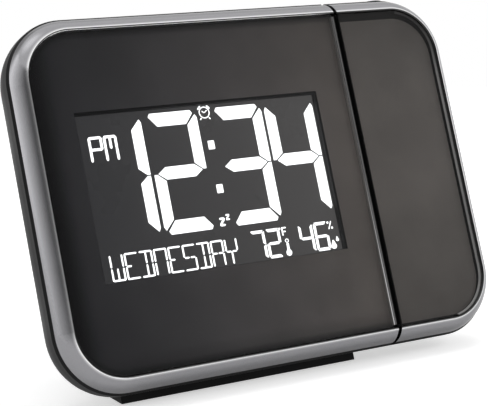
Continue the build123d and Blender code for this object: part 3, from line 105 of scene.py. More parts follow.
def add_node(tree, kind, inputs=None, **options):
    """Adds a node; each of its inputs takes a value or a link."""
    node = tree.nodes.new(kind)
    for key, value in options.items():
        setattr(node, key, value)
    for key, value in (inputs or {}).items():
        if isinstance(value, bpy.types.NodeSocket):
            tree.links.new(value, node.inputs[key])
        else:
            node.inputs[key].default_value = value
    return node


def calculate(tree, operation, *values):
    """The result of a sum with numbers or links."""
    return add_node(tree, "ShaderNodeMath", dict(enumerate(values)), operation=operation).outputs[0]


def map_range(tree, value, low, high, start=0.0, stop=1.0, soft=False):
    """Gives low where value is start, high where it is stop, and a mix between them."""
    inputs = {"Value": value, "From Min": start, "From Max": stop, "To Min": low, "To Max": high}
    kind = "SMOOTHSTEP" if soft else "LINEAR"
    return add_node(tree, "ShaderNodeMapRange", inputs, interpolation_type=kind).outputs["Result"]


# %% [markdown]
# ## Camera
# A long lens keeps the far end of the clock almost as tall as the near end. The camera stands to
# the left of the clock and a little above it. It is turned about the upright, tipped down, and
# rolled by a small angle.

# %% Camera
CAMERA_AT = (-0.25853, -0.45736, 0.14815)
CAMERA_YAW = math.radians(-29.07)
CAMERA_DOWN = math.radians(9.82)
CAMERA_ROLL = math.radians(-1.97)
SENSOR = 36.0
FOCAL = 113.33
NEAREST = 0.01

camera_data = bpy.data.cameras.new("camera")
camera_data.sensor_width = SENSOR
camera_data.lens = FOCAL
camera_data.clip_start = NEAREST
camera = bpy.data.objects.new("camera", camera_data)
bpy.context.scene.collection.objects.link(camera)
camera.matrix_world = (
    Matrix.Translation(CAMERA_AT)
    @ Matrix.Rotation(CAMERA_YAW, 4, "Z")
    @ Matrix.Rotation(math.pi / 2 - CAMERA_DOWN, 4, "X")
    @ Matrix.Rotation(CAMERA_ROLL, 4, "Z")
)
bpy.context.scene.camera = camera
bpy.context.scene.view_settings.view_transform = "Standard"
print("camera", camera.location)

# %% [markdown]
# ## Floor and light
# A product shot wants a white surround with a soft shadow. The floor is a disc of white paper and
# the surround is a white world. Both add a little glow of their own for the camera and for what
# metal and glass mirror, so they look white without pouring more light on the clock.

# %% Floor
FLOOR_R = 0.95
FLOOR_SIDES = 96
PAPER = (0.88, 0.88, 0.88, 1)
FLOOR_GLOW = 0.52
FLOOR_MIRROR_GLOW = 0.1

floor_bm = bmesh.new()
bmesh.ops.create_circle(floor_bm, cap_ends=True, segments=FLOOR_SIDES, radius=FLOOR_R)
floor = add_object("floor", floor_bm)

paper = bpy.data.materials.new("white_paper")
tree = empty_tree(paper)
rays = add_node(tree, "ShaderNodeLightPath").outputs
to_camera = calculate(tree, "MULTIPLY", rays["Is Camera Ray"], FLOOR_GLOW)
strength = calculate(tree, "MULTIPLY_ADD", rays["Is Glossy Ray"], FLOOR_MIRROR_GLOW, to_camera)
lit = add_node(tree, "ShaderNodeBsdfDiffuse", {"Color": PAPER})
glow = add_node(tree, "ShaderNodeEmission", {"Strength": strength})
both = add_node(tree, "ShaderNodeAddShader", {0: lit.outputs[0], 1: glow.outputs[0]})
add_node(tree, "ShaderNodeOutputMaterial", {"Surface": both.outputs[0]})
floor.data.materials.append(paper)
print("floor radius", FLOOR_R)

# %% World
WORLD_LIGHT = 0.48

world = bpy.data.worlds.new("white_room")
bpy.context.scene.world = world
tree = empty_tree(world)
rays = add_node(tree, "ShaderNodeLightPath").outputs
seen = rays["Is Camera Ray"]
for kind in ("Is Glossy Ray", "Is Transmission Ray"):
    seen = calculate(tree, "MAXIMUM", seen, rays[kind])
room = add_node(tree, "ShaderNodeBackground", {
    "Color": (1, 1, 1, 1), "Strength": map_range(tree, seen, WORLD_LIGHT, 1.0),
})
add_node(tree, "ShaderNodeOutputWorld", {"Surface": room.outputs[0]})
print("world light", WORLD_LIGHT)

# %% [markdown]
# ### Lamps and the wall that the clock mirrors
# Polished plastic and silver paint show the room more than the lamps. Three soft lamps give plain
# light and stay out of the mirror. What the mirror shows is a round wall about the table, dark
# straight ahead and lighter to both sides, so that the windows stay dark and the bezel keeps its
# round. Low down the wall grows as light as the floor, so that no edge shows where they meet.
# Only reflections see that wall.

# %% Lamps
AIM = Vector((0.0, 0.0, 0.06))


def soft_lamp(name, at, width, height, radiance):
    """A flat lamp aimed at the clock; radiance 1 looks as bright as white paper."""
    data = bpy.data.lights.new(name, "AREA")
    data.shape = "RECTANGLE"
    data.size = width
    data.size_y = height
    data.energy = radiance * math.pi * width * height
    lamp = bpy.data.objects.new(name, data)
    bpy.context.scene.collection.objects.link(lamp)
    lamp.location = at
    lamp.rotation_euler = (AIM - Vector(at)).to_track_quat("-Z", "Y").to_euler()
    lamp.visible_glossy = False
    print(name, "radiance", radiance)


soft_lamp("key_right", (0.95, -0.85, 0.75), 0.8, 0.8, 3.2)
soft_lamp("fill_left", (-1.1, 0.35, 0.45), 0.8, 0.6, 2.0)
soft_lamp("top", (0.0, 0.1, 1.4), 1.2, 0.8, 1.6)

# %% The wall that the clock mirrors
WALL_R = 1.6
WALL_H = 1.5
WALL_LOW = 0.02
WALL_FROM = -179.9
WALL_TO = 179.9
WALL_STEPS = 120


def bearing(degrees, radius, height):
    """A point round the clock; 0 is straight ahead of its face and 90 is to its right."""
    angle = math.radians(degrees)
    return Vector((radius * math.sin(angle), -radius * math.cos(angle), height))


def show_in_mirrors_only(backdrop):
    backdrop.visible_camera = False
    backdrop.visible_diffuse = False
    backdrop.visible_transmission = False
    backdrop.visible_shadow = False


wall_bm = bmesh.new()
post = [wall_bm.verts.new(bearing(WALL_FROM, WALL_R, height)) for height in (WALL_LOW, WALL_H)]
post_edge = wall_bm.edges.new(post)
bmesh.ops.spin(
    wall_bm, geom=[*post, post_edge], cent=(0, 0, 0), axis=(0, 0, 1), dvec=(0, 0, 0),
    angle=math.radians(WALL_TO - WALL_FROM), steps=WALL_STEPS, use_merge=False,
)
wall = add_object("mirror_wall", wall_bm)
show_in_mirrors_only(wall)
print("wall faces", len(wall.data.polygons))

# %% Tones of the wall, by bearing
WALL_GLOW = 2.0
WALL_FOOT = 0.8
WALL_FOOT_H = 0.72
WALL_TONES = (
    (-179.9, 0.45), (-155.0, 0.4), (-142.0, 0.7), (-128.0, 1.75), (-105.0, 1.15), (-85.0, 0.7),
    (-65.0, 0.26), (-45.0, 0.05), (0.0, 0.04), (18.0, 0.05), (26.0, 0.16), (34.0, 0.3),
    (46.0, 0.4), (70.0, 0.95), (93.0, 1.1), (130.0, 0.8), (179.9, 0.6),
)

tones = bpy.data.materials.new("mirror_tones")
tree = empty_tree(tones)
place = add_node(tree, "ShaderNodeTexCoord").outputs["Object"]
axes = add_node(tree, "ShaderNodeSeparateXYZ", {0: place}).outputs
turn = calculate(tree, "ARCTAN2", axes["X"], calculate(tree, "MULTIPLY", axes["Y"], -1.0))
along = map_range(tree, turn, 0.0, 1.0, math.radians(WALL_FROM), math.radians(WALL_TO))
ramp = add_node(tree, "ShaderNodeValToRGB", {"Fac": along})
while len(ramp.color_ramp.elements) < len(WALL_TONES):
    ramp.color_ramp.elements.new(0.5)
for element, (degrees, tone) in zip(ramp.color_ramp.elements, WALL_TONES):
    element.position = (degrees - WALL_FROM) / (WALL_TO - WALL_FROM)
    element.color = (tone / WALL_GLOW, tone / WALL_GLOW, tone / WALL_GLOW, 1)
foot = map_range(tree, axes["Z"], WALL_FOOT / WALL_GLOW, 0.0, WALL_LOW, WALL_FOOT_H, soft=True)
lighter = add_node(
    tree, "ShaderNodeVectorMath", {0: ramp.outputs["Color"], 1: foot}, operation="MAXIMUM",
)
glow = add_node(
    tree, "ShaderNodeEmission", {"Color": lighter.outputs["Vector"], "Strength": WALL_GLOW},
)
add_node(tree, "ShaderNodeOutputMaterial", {"Surface": glow.outputs[0]})
wall.data.materials.append(tones)
print("wall tones", len(WALL_TONES))

# %% [markdown]
# The bezel's top left corner turns up and back, so it mirrors what stands above the wall's rim. A
# round card hangs there to light it up. The card's glow fades towards its rim, which leaves no
# outline in the paint.

# %% A bright card above, for the round of the top left corner
CARD_R = 0.5
CARD_CORE_R = 0.1
CARD_SIDES = 48
CARD_GLOW = 1.7
CARD_AT = bearing(-130.0, 0.62, 1.25)

card_bm = bmesh.new()
bmesh.ops.create_circle(card_bm, cap_ends=True, segments=CARD_SIDES, radius=CARD_R)
card = add_object("mirror_card", card_bm)
card.location = CARD_AT
card.rotation_euler = (AIM - CARD_AT).to_track_quat("-Z", "Y").to_euler()
show_in_mirrors_only(card)

soft_card = bpy.data.materials.new("soft_card")
tree = empty_tree(soft_card)
place = add_node(tree, "ShaderNodeTexCoord").outputs["Object"]
span = add_node(tree, "ShaderNodeVectorMath", {0: place}, operation="LENGTH").outputs["Value"]
clear = add_node(tree, "ShaderNodeBsdfTransparent")
glow = add_node(tree, "ShaderNodeEmission", {"Strength": CARD_GLOW})
both = add_node(tree, "ShaderNodeMixShader", {
    "Fac": map_range(tree, span, 1.0, 0.0, CARD_CORE_R, CARD_R, soft=True),
    1: clear.outputs[0], 2: glow.outputs[0],
})
add_node(tree, "ShaderNodeOutputMaterial", {"Surface": both.outputs[0]})
card.data.materials.append(soft_card)
print("card radius", CARD_R)

# %% [markdown]
# ## Finishes
# Every finish is one Principled shader. A fine noise shifts its colour and roughness, and a bump
# gives it the grain of its making: spark-eroded grain on the black shells, orange peel under the
# silver paint, drawn lines on steel. The patterns read object coordinates, so they stay put.

# %% A finish and its variations
FINISHES = {}


class Finish:
    """One Principled material, kept under its name, and short calls that vary it."""

    def __init__(self, name, colour, roughness, metallic=0.0, **sockets):
        self.material = bpy.data.materials.new(name)
        self.material.use_nodes = True
        self.tree = self.material.node_tree
        self.shader = self.tree.nodes["Principled BSDF"]
        self.colour = colour
        self.set("Base Color", (*colour, 1))
        self.set("Roughness", roughness)
        self.set("Metallic", metallic)
        for key, value in sockets.items():
            self.set(key.replace("_", " "), value)
        self.place = self.add("ShaderNodeTexCoord").outputs["Object"]
        FINISHES[name] = self.material

    def add(self, kind, inputs=None, **options):
        return add_node(self.tree, kind, inputs, **options)

    def set(self, socket, value):
        self.shader.inputs[socket].default_value = value

    def link(self, value, socket):
        self.tree.links.new(value, self.shader.inputs[socket])

    def noise(self, scale, detail=2.0, stretch=None):
        place = self.place
        if stretch:
            stretched = self.add("ShaderNodeMapping", {"Vector": place, "Scale": stretch})
            place = stretched.outputs["Vector"]
        inputs = {"Vector": place, "Scale": scale, "Detail": detail}
        return self.add("ShaderNodeTexNoise", inputs).outputs["Fac"]

    def cells(self, scale):
        """Small cells, each with a tone of its own."""
        cells = self.add("ShaderNodeTexVoronoi", {"Vector": self.place, "Scale": scale})
        return self.add("ShaderNodeRGBToBW", {"Color": cells.outputs["Color"]}).outputs["Val"]

    def spread(self, value, low, high, start=0.3, stop=0.7, soft=False):
        """Maps a noise or a length to a range of numbers."""
        return map_range(self.tree, value, low, high, start, stop, soft)

    def blend(self, value, dark, light, start=0.3, stop=0.7):
        """Colours between two tints by a number."""
        ramp = self.add("ShaderNodeValToRGB", {"Fac": value})
        ends = ramp.color_ramp.elements
        for end, position, tint in ((ends[0], start, dark), (ends[1], stop, light)):
            end.position = position
            end.color = (*tint, 1)
        return ramp.outputs["Color"]

    def times(self, first, second):
        return calculate(self.tree, "MULTIPLY", first, second)

    def mix(self, factor, first, second):
        """Goes from a linked colour to a fixed one as the factor grows."""
        inputs = {"Factor": factor, "A": first, "B": (*second, 1)}
        return self.add("ShaderNodeMix", inputs, data_type="RGBA").outputs["Result"]

    def tint(self, scale, amount):
        """A soft change of tone over the surface."""
        dark = tuple(c * (1 - amount) for c in self.colour)
        light = tuple(min(1.0, c * (1 + amount)) for c in self.colour)
        self.link(self.blend(self.noise(scale, 3), dark, light), "Base Color")

    def fade(self, factor):
        """Multiplies the base colour by a factor or by another colour."""
        so_far = self.shader.inputs["Base Color"].links[0].from_socket
        product = self.add("ShaderNodeVectorMath", {0: so_far, 1: factor}, operation="MULTIPLY")
        self.link(product.outputs["Vector"], "Base Color")

    def polish(self, scale, low, high):
        """Handling and dust: the roughness wanders."""
        self.link(self.spread(self.noise(scale, 3), low, high), "Roughness")

    def grain(self, height, distance):
        """A bump from a height."""
        bump = self.add("ShaderNodeBump", {"Height": height, "Distance": distance})
        self.link(bump.outputs["Normal"], "Normal")


# %% [markdown]
# Most slots need one of two recipes. Moulded plastic gets soft blotches and an even grain. Metal
# gets finer blotches and a grain that is squeezed along one axis into thin lines.


# %% Moulded plastic and drawn metal
def moulded(slot, colour, rough, grain_scale=2600, grain_height=0.00003, **sockets):
    """Moulded plastic with an eroded grain."""
    finish = Finish(slot, colour, rough, **sockets)
    finish.tint(60, 0.12)
    finish.polish(45, rough - 0.07, rough + 0.07)
    finish.grain(finish.noise(grain_scale, 3), grain_height)
    return finish


def metal(slot, colour, rough, stretch=(1, 1, 12)):
    """Plated or drawn metal with fine lines."""
    finish = Finish(slot, colour, rough, metallic=1.0)
    finish.tint(220, 0.1)
    finish.polish(400, rough - 0.08, rough + 0.1)
    finish.grain(finish.noise(1800, 2, stretch), 0.00001)


# %% [markdown]
# ### Silver paint
# The bezel is moulded plastic under silver paint: tiny flakes in a clear binder. Metal with a low
# roughness gives the soft sheen, fine cells scatter the flakes, and a slow noise gives the slight
# orange peel of a sprayed coat. Along the crest a highlight is painted into the colour, so the
# shader measures how far each point lies from the crest line. It lightens the paint just outside
# the line as a painted highlight and darkens the inner lip as painted shade. Only along the top of
# the display is a second thin painted highlight put on the lip's edge.

# %% Where the crest line runs
FACE_CENTRE = TO_WORLD @ Vector((0, 0, FACE_H / 2))


def face_place(finish):
    """Places in the clock frame, in metres from the middle of the face."""
    inputs = {"Vector": finish.place, "Location": FACE_CENTRE, "Rotation": (-LEAN, 0, 0)}
    return finish.add("ShaderNodeMapping", inputs, vector_type="TEXTURE").outputs["Vector"]


def face_axis(finish, axis):
    """One coordinate of face_place; Z runs up the face and Y back from the crest."""
    return finish.add("ShaderNodeSeparateXYZ", {0: face_place(finish)}).outputs[axis]


def crest_distance(finish):
    """Metres outward from the bezel's crest line, worked out in the plane of the face."""
    centre_of_round = ((FACE_W / 2 - CORNER_R) * MM, 0, (FACE_H / 2 - CORNER_R) * MM)
    quarter = finish.add("ShaderNodeVectorMath", {0: face_place(finish)}, operation="ABSOLUTE")
    past = finish.add(
        "ShaderNodeVectorMath", {0: quarter.outputs["Vector"], 1: centre_of_round},
        operation="SUBTRACT",
    )
    axes = finish.add("ShaderNodeSeparateXYZ", {0: past.outputs["Vector"]}).outputs
    kept = {axis: calculate(finish.tree, "MAXIMUM", axes[axis], 0.0) for axis in ("X", "Z")}
    reach = finish.add("ShaderNodeCombineXYZ", kept).outputs["Vector"]
    length = finish.add("ShaderNodeVectorMath", {0: reach}, operation="LENGTH").outputs["Value"]
    return calculate(finish.tree, "SUBTRACT", length, CORNER_R * MM)


# %% Silver paint
FLAKES_PER_M = 14000
# Painted highlight outside the crest, painted shade on the inner lip, a painted glint on the lip.
CREST_HIGHLIGHT_AT = (0.00012, 0.00095)
CREST_HIGHLIGHT_TONE = (0.93, 0.93, 0.94)
SHADE_AT = (-0.00022, 0.0)
SHADED = (0.05, 0.05, 0.05)
GLINT_AT = (-0.00046, -0.00038)
GLINT_ABOVE = (0.05, 0.054)
GLINT_LEFT_OF = (0.03, 0.038)
GLINTING = (0.95, 0.95, 0.95)

silver = Finish("silver_plastic", (0.33, 0.33, 0.338), 0.17, metallic=1.0)
flake = silver.cells(FLAKES_PER_M)
paint = silver.blend(flake, (0.299, 0.297, 0.31), (0.364, 0.362, 0.376), 0.2, 0.8)
beyond = crest_distance(silver)
# A painted highlight: the colour lightens just outside the crest line.
painted_crest_highlight = silver.spread(beyond, 1.0, 0.0, *CREST_HIGHLIGHT_AT)
# A second painted highlight on the lip's edge, only along the top of the display.
above = silver.spread(face_axis(silver, "Z"), 0.0, 1.0, *GLINT_ABOVE)
beside = silver.spread(face_axis(silver, "X"), 1.0, 0.0, *GLINT_LEFT_OF)
glint = silver.times(silver.times(silver.spread(beyond, 1.0, 0.0, *GLINT_AT), above), beside)
no_glint = silver.spread(glint, 1.0, 0.0, 0.0, 1.0)
# Painted shade darkens the inner lip, except under the painted glint.
shade = silver.times(silver.spread(beyond, 1.0, 0.0, *SHADE_AT), no_glint)
tone = silver.mix(silver.times(painted_crest_highlight, painted_crest_highlight), paint, CREST_HIGHLIGHT_TONE)
tone = silver.mix(glint, tone, GLINTING)
silver.link(silver.mix(shade, tone, SHADED), "Base Color")
silver.polish(70, 0.13, 0.2)
silver.grain(silver.noise(900), 0.000008)

snooze_paint = Finish("snooze_plastic", (0.3, 0.3, 0.31), 0.34, metallic=0.85)
snooze_paint.tint(300, 0.12)
snooze_paint.polish(60, 0.28, 0.4)
snooze_paint.grain(snooze_paint.noise(1200), 0.000012)
# Prints how far the painted crest highlight reaches.
print("painted crest highlight reaches", CREST_HIGHLIGHT_AT[1] / MM, "mm outside the crest")

# %% [markdown]
# ### Smoked windows
# The window is clear plastic with a smoke tint. Part of the light passes straight through, which
# alpha gives without noise, and the rest is a dark polished skin that mirrors the room.

# %% Smoked windows
SMOKE = 0.4
WINDOW_TINTS = {"lens_plastic": (0.008, 0.008, 0.009), "arm_lens_plastic": (0.009, 0.008, 0.008)}

for slot, colour in WINDOW_TINTS.items():
    smoke = Finish(slot, colour, 0.045, Alpha=SMOKE, IOR=1.49, Specular_IOR_Level=1.0)
    smoke.tint(25, 0.15)
    smoke.polish(30, 0.03, 0.06)
    smoke.grain(smoke.noise(9, 1), 0.000006)
print("share of light that the smoke stops", SMOKE)

# %% [markdown]
# ### Moulded plastics, rubber and metals
# The shells have a fine eroded grain; inner frames are smoother. Every plain slot of the record
# gets its finish here, in one line each, from the two recipes above.

# %% Plain finishes by slot
moulded(
    "black_frame_plastic", (0.006, 0.006, 0.0062), 0.55, 1800, 0.000002, Specular_IOR_Level=0.08,
)
moulded("shell_plastic", (0.01, 0.01, 0.0104), 0.4, Specular_IOR_Level=0.15)
moulded("door_plastic", (0.01, 0.01, 0.0104), 0.4, Specular_IOR_Level=0.15)
moulded("foot_plastic", (0.007, 0.007, 0.0073), 0.45, Specular_IOR_Level=0.2)
moulded("button_plastic", (0.07, 0.07, 0.075), 0.38, 2200, 0.00002)
moulded("ring_plastic", (0.008, 0.008, 0.0083), 0.4, 2000, 0.00002, Specular_IOR_Level=0.2)
moulded("chassis_plastic", (0.022, 0.022, 0.022), 0.55)
moulded("barrel_plastic", (0.02, 0.02, 0.02), 0.5)
moulded("shaft_plastic", (0.03, 0.03, 0.03), 0.4)
moulded("bush_plastic", (0.72, 0.7, 0.64), 0.35, 1500, 0.00001)
moulded("connector_nylon", (0.78, 0.76, 0.68), 0.4, 1500, 0.00001)
moulded("holder_plastic", (0.8, 0.8, 0.78), 0.4, 1500, 0.00001)
moulded("switch_plastic", (0.035, 0.035, 0.035), 0.4, 1500, 0.00001)
moulded("sensor_case", (0.8, 0.8, 0.8), 0.4, 1500, 0.00001)
moulded("jack_plastic", (0.018, 0.018, 0.018), 0.35, 1500, 0.00001)
moulded("foot_rubber", (0.028, 0.028, 0.028), 0.75, 1600, 0.00004)
moulded("lead_sleeve", (0.02, 0.02, 0.02), 0.55, 1600, 0.00002)
moulded("elastomer", (0.62, 0.34, 0.38), 0.5, 900, 0.00002)
moulded("chip_resin", (0.012, 0.012, 0.012), 0.22, 600, 0.00003)
moulded("cell_jacket", (0.05, 0.055, 0.07), 0.3, 700, 0.00001)
moulded("guide_acrylic", (0.8, 0.82, 0.84), 0.2, 900, 0.00001)
moulded("optic_clear", (0.72, 0.75, 0.78), 0.06, 300, 0.000003, Coat_Weight=0.6)
moulded("led_lens", (0.55, 0.05, 0.03), 0.1, 300, 0.000003)
moulded("imager_lcd", (0.05, 0.05, 0.055), 0.15, 700, 0.000004)
metal("screw_steel", (0.5, 0.5, 0.51), 0.32)
metal("spring_steel", (0.6, 0.6, 0.61), 0.28)
metal("contact_steel", (0.66, 0.66, 0.66), 0.3)
metal("washer_steel", (0.58, 0.58, 0.58), 0.3)
metal("crystal_can", (0.7, 0.7, 0.71), 0.25)
metal("pin_metal", (0.78, 0.77, 0.74), 0.16)
metal("buzzer_brass", (0.72, 0.55, 0.26), 0.3)
print("finishes so far", len(FINISHES))

# %% [markdown]
# ### Display, backlight and circuit boards
# The dark cells of the display still leak some backlight, so the glass glows faintly along the
# face. The rise of that glow and its warmer tint towards the right are painted light. A board is
# green lacquer over copper. A stepped noise stands for the tracks under the lacquer.

# %% Display, backlight and boards
LCD_GLOW = 0.148
# Painted light: between these two places the glow rises and warms towards the right.
LCD_PAINTED_RISE_AT = (-0.062, 0.016)
SEGMENT_GLOW = 4.6

lcd_glow = moulded("lcd", (0.03, 0.031, 0.034), 0.3, 700, 0.000004)
# The painted rise of the glow towards the right.
across = lcd_glow.spread(face_axis(lcd_glow, "X"), 0.0, 1.0, *LCD_PAINTED_RISE_AT)
backlight_and_painted_rise = lcd_glow.blend(across, (0.5, 0.5, 0.525), (1.0, 0.965, 0.95), 0.0, 1.0)
lcd_glow.link(backlight_and_painted_rise, "Emission Color")
lcd_glow.set("Emission Strength", LCD_GLOW)

lit_white = Finish(
    "backlight_white", (0.85, 0.86, 0.86), 0.4,
    Emission_Color=(0.97, 0.985, 1.0, 1), Emission_Strength=SEGMENT_GLOW,
)
lit_white.tint(150, 0.04)

board = Finish("circuit_board", (0.012, 0.09, 0.035), 0.35)
tracks = board.noise(500, 0)
lacquer = board.blend(tracks, (0.008, 0.07, 0.026), (0.03, 0.14, 0.05), 0.49, 0.52)
board.link(lacquer, "Base Color")
board.grain(tracks, 0.00002)
print("display glow", LCD_GLOW, "segment glow", SEGMENT_GLOW)

# %% [markdown]
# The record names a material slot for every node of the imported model. Putting each slot's finish
# on its nodes here leaves no part of the clock bare, not even inside.

# %% Give each node the finish of its slot
slot_of = {entry["node"]: entry["material_slot"] for entry in frame["record"]["subparts"]}
for name, node in NODES.items():
    node.data.materials.clear()
    node.data.materials.append(FINISHES[slot_of[name]])
print("finished", len(slot_of), "nodes with", len(FINISHES), "finishes")

# %% [markdown]
# ## New pieces
# A new piece is drawn in a bmesh in the clock frame. This helper leans it back, gives it a finish,
# smooths what is rounder than an angle, and lets it ride on its body. A piece takes the finish of
# its slot unless it names another one.

# %% Make a piece
SMOOTH_BELOW = math.radians(35.0)


def make_piece(bm, name, body, slot, finish=None):
    bmesh.ops.transform(bm, matrix=TO_WORLD, verts=bm.verts)
    bmesh.ops.recalc_face_normals(bm, faces=bm.faces)
    piece = add_object(name, bm)
    mesh = piece.data
    mesh.materials.append(FINISHES[finish or slot])
    mesh.shade_smooth()
    mesh.set_sharp_from_angle(angle=SMOOTH_BELOW)
    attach(piece, body)
    print(name, len(mesh.polygons), "faces")
    return piece


# %% [markdown]
# ## The lit display
# The clock's display is a liquid-crystal cell that blocks its backlight except where a segment is
# switched on. Each lit segment is a thin plate just in front of the glass. A seven-segment digit
# has four corner bars with one straight outer side, and three level bars with pointed ends.

# %% Segment shapes
DISPLAY_Y = 4.66
SEGMENT_T = 0.04


def plate(bm, corners, round_by=0.0):
    """A flat plate from its corners, as seen from the front."""
    verts = [bm.verts.new((x, DISPLAY_Y, z)) for x, z in corners]
    bm.faces.new(verts)
    if round_by:
        bmesh.ops.bevel(
            bm, geom=verts, offset=round_by, segments=3, profile=0.5, affect="VERTICES",
            material=-1,
        )


def thicken(bm, depth):
    """Turns flat plates or sheets into thin solids."""
    made = bmesh.ops.extrude_face_region(bm, geom=list(bm.faces))
    moved = [item for item in made["geom"] if isinstance(item, bmesh.types.BMVert)]
    bmesh.ops.translate(bm, vec=(0, depth, 0), verts=moved)


# %% A seven-segment digit
TIP = 0.28
MIDDLE_BAR = 0.46


def seven_segment(bm, x, z, width, height, upright, level, which, gap=0.4, round_by=0.12):
    """One digit; upright and level are the bars' thicknesses, and which names its lit bars."""
    mid = height / 2
    tip = upright * TIP
    far = width - upright
    half = level * MIDDLE_BAR
    bars = {
        "a": [
            (tip + gap, height - tip), (2 * tip, height), (width - 2 * tip, height),
            (width - tip - gap, height - tip), (far - gap, height - level),
            (upright + gap, height - level),
        ],
        "d": [
            (tip + gap, tip), (2 * tip, 0), (width - 2 * tip, 0),
            (width - tip - gap, tip), (far - gap, level), (upright + gap, level),
        ],
        "g": [
            (tip + gap, mid), (upright + gap, mid + half), (far - gap, mid + half),
            (width - tip - gap, mid), (far - gap, mid - half), (upright + gap, mid - half),
        ],
        "f": [
            (0, mid + gap / 2), (0, height - 2.4 * tip), (tip * 0.6, height - tip - gap),
            (upright, height - level - gap), (upright, mid + half + gap), (tip, mid + gap / 2),
        ],
    }
    bars["e"] = [(px, height - pz) for px, pz in bars["f"]]
    bars["b"] = [(width - px, pz) for px, pz in bars["f"]]
    bars["c"] = [(width - px, height - pz) for px, pz in bars["f"]]
    for name in which:
        plate(bm, [(x + px, z + pz) for px, pz in bars[name]], round_by)


# %% [markdown]
# The weekday has letters of the same kind in finer strokes. A stroke is a bar with pointed ends
# between any two points, so it also draws the small signs. A letter names the strokes it needs.

# %% A pointed stroke
STROKE_ROUND = 0.12


def stroke(bm, start, end, width):
    """A bar with pointed ends between two points."""
    a, b = Vector(start), Vector(end)
    along = (b - a).normalized()
    side = Vector((-along.y, along.x)) * width / 2
    along = along * width / 2
    corners = [a, a + along + side, b - along + side, b, b - along - side, a + along - side]
    plate(bm, [tuple(corner) for corner in corners], width * STROKE_ROUND)


# %% Letters of the weekday row
CORNER_LAP = 0.3
STROKES = {
    "a": ((0, 1), (1, 1)), "d": ((0, 0), (1, 0)),
    "f": ((0, 1), (0, 0.5)), "e": ((0, 0.5), (0, 0)),
    "b": ((1, 1), (1, 0.5)), "c": ((1, 0.5), (1, 0)),
    "g": ((0, 0.5), (0.5, 0.5)), "k": ((0.5, 0.5), (1, 0.5)),
    "i": ((0.5, 1), (0.5, 0.5)), "l": ((0.5, 0.5), (0.5, 0)),
}
LETTERS = {
    "W": "febcdl", "E": "afegd", "D": "adilbc", "N": "afebc", "S": "afgkcd", "A": "afebcgk",
    "Y": "fgkbl", "P": "afegkb", "M": "afebci",
}


def letter(bm, character, x, z, width, height, thick, mid_gap=0.2):
    """Strokes meet at the corners and stay a little apart where they cross half-way up."""
    for name in LETTERS[character]:
        (x0, z0), (x1, z1) = STROKES[name]
        start = Vector((x + x0 * width, z + z0 * height))
        end = Vector((x + x1 * width, z + z1 * height))
        along = (end - start).normalized() * thick
        near = mid_gap if z0 == 0.5 else -CORNER_LAP
        far = mid_gap if z1 == 0.5 else -CORNER_LAP
        stroke(bm, start + along * near, end - along * far, thick)


# %% Time, small figures and letters
BIG = dict(width=19.6, height=41.15, upright=4.0, level=4.6)
BIG_Z = 43.9
BIG_DIGITS = ((-61.2, "bc"), (-40.3, "abged"), (-15.1, "abgcd"), (5.6, "fgbc"))
COLON_LEFT, COLON_RIGHT = -18.4, -16.0
COLON_ZS = (57.2, 72.4)
COLON_H = 3.0
COLON_ROUND = 0.25
SMALL = dict(width=5.6, height=10.1, upright=1.0, level=1.05, gap=0.16, round_by=0.08)
SMALL_Z = 31.2
SMALL_DIGITS = ((-9.4, "abc"), (-3.4, "abged"), (9.7, "fgbc"), (15.8, "afgecd"))
WEEKDAY_X, WEEKDAY_Z = -61.5, 31.5
LETTER_PITCH = 5.27
LETTER_STROKE = 0.6
LETTER_SIZE = dict(
    width=4.5 - LETTER_STROKE / 2, height=8.5 - LETTER_STROKE / 2, thick=LETTER_STROKE,
)
HALF_DAY = (("P", -61.15, 4.1), ("M", -55.75, 3.95))
HALF_DAY_Z = 70.95
HALF_DAY_SIZE = dict(height=7.8, thick=0.9, mid_gap=-0.3)

lcd = bmesh.new()
for x, bars in BIG_DIGITS:
    seven_segment(lcd, x, BIG_Z, which=bars, **BIG)
for z in COLON_ZS:
    low, high = z - COLON_H / 2, z + COLON_H / 2
    corners = [(COLON_LEFT, low), (COLON_RIGHT, low), (COLON_RIGHT, high), (COLON_LEFT, high)]
    plate(lcd, corners, COLON_ROUND)
for x, bars in SMALL_DIGITS:
    seven_segment(lcd, x, SMALL_Z, which=bars, **SMALL)
for index, character in enumerate("WEDNESDAY"):
    letter(lcd, character, WEEKDAY_X + LETTER_PITCH * index, WEEKDAY_Z, **LETTER_SIZE)
for character, x, width in HALF_DAY:
    letter(lcd, character, x, HALF_DAY_Z, width, **HALF_DAY_SIZE)
print("plates so far", len(lcd.faces))

# %% [markdown]
# The small signs are an alarm clock, two snoring letters, a thermometer, two drops, and the marks
# for degrees and percent. Rings come from a circle that is inset and loses its middle. Each sign
# is drawn about one point of its own, in millimetres.


# %% Round shapes and the letter Z
def disc(bm, x, z, radius, segments=24):
    made = bmesh.ops.create_circle(
        bm, cap_ends=True, segments=segments, radius=radius,
        matrix=Matrix.Translation((x, DISPLAY_Y, z)) @ Matrix.Rotation(math.pi / 2, 4, "X"),
    )
    return made["verts"]


def ring(bm, x, z, radius, width, segments=28):
    face = disc(bm, x, z, radius, segments)[0].link_faces[0]
    bmesh.ops.inset_individual(bm, faces=[face], thickness=width, use_even_offset=True)
    bmesh.ops.delete(bm, geom=[face], context="FACES_ONLY")


def drop(bm, x, z, radius, height):
    """A disc whose upper half is narrowed and pulled up to a point."""
    for vert in disc(bm, x, z, radius):
        rise = (vert.co.z - z) / radius
        if rise > 0:
            vert.co.z = z + rise**3 * height + rise * radius * 0.5
            vert.co.x = x + (vert.co.x - x) * (1 - 0.25 * rise)


def letter_z(bm, x, z, width, height, thick):
    top, foot = z + height - thick / 2, z + thick / 2
    right, left = (x + width * 0.92, z + height - thick * 0.6), (x + width * 0.08, z + thick * 0.6)
    stroke(bm, (x, top), (x + width, top), thick)
    stroke(bm, right, left, thick)
    stroke(bm, (x, foot), (x + width, foot), thick)


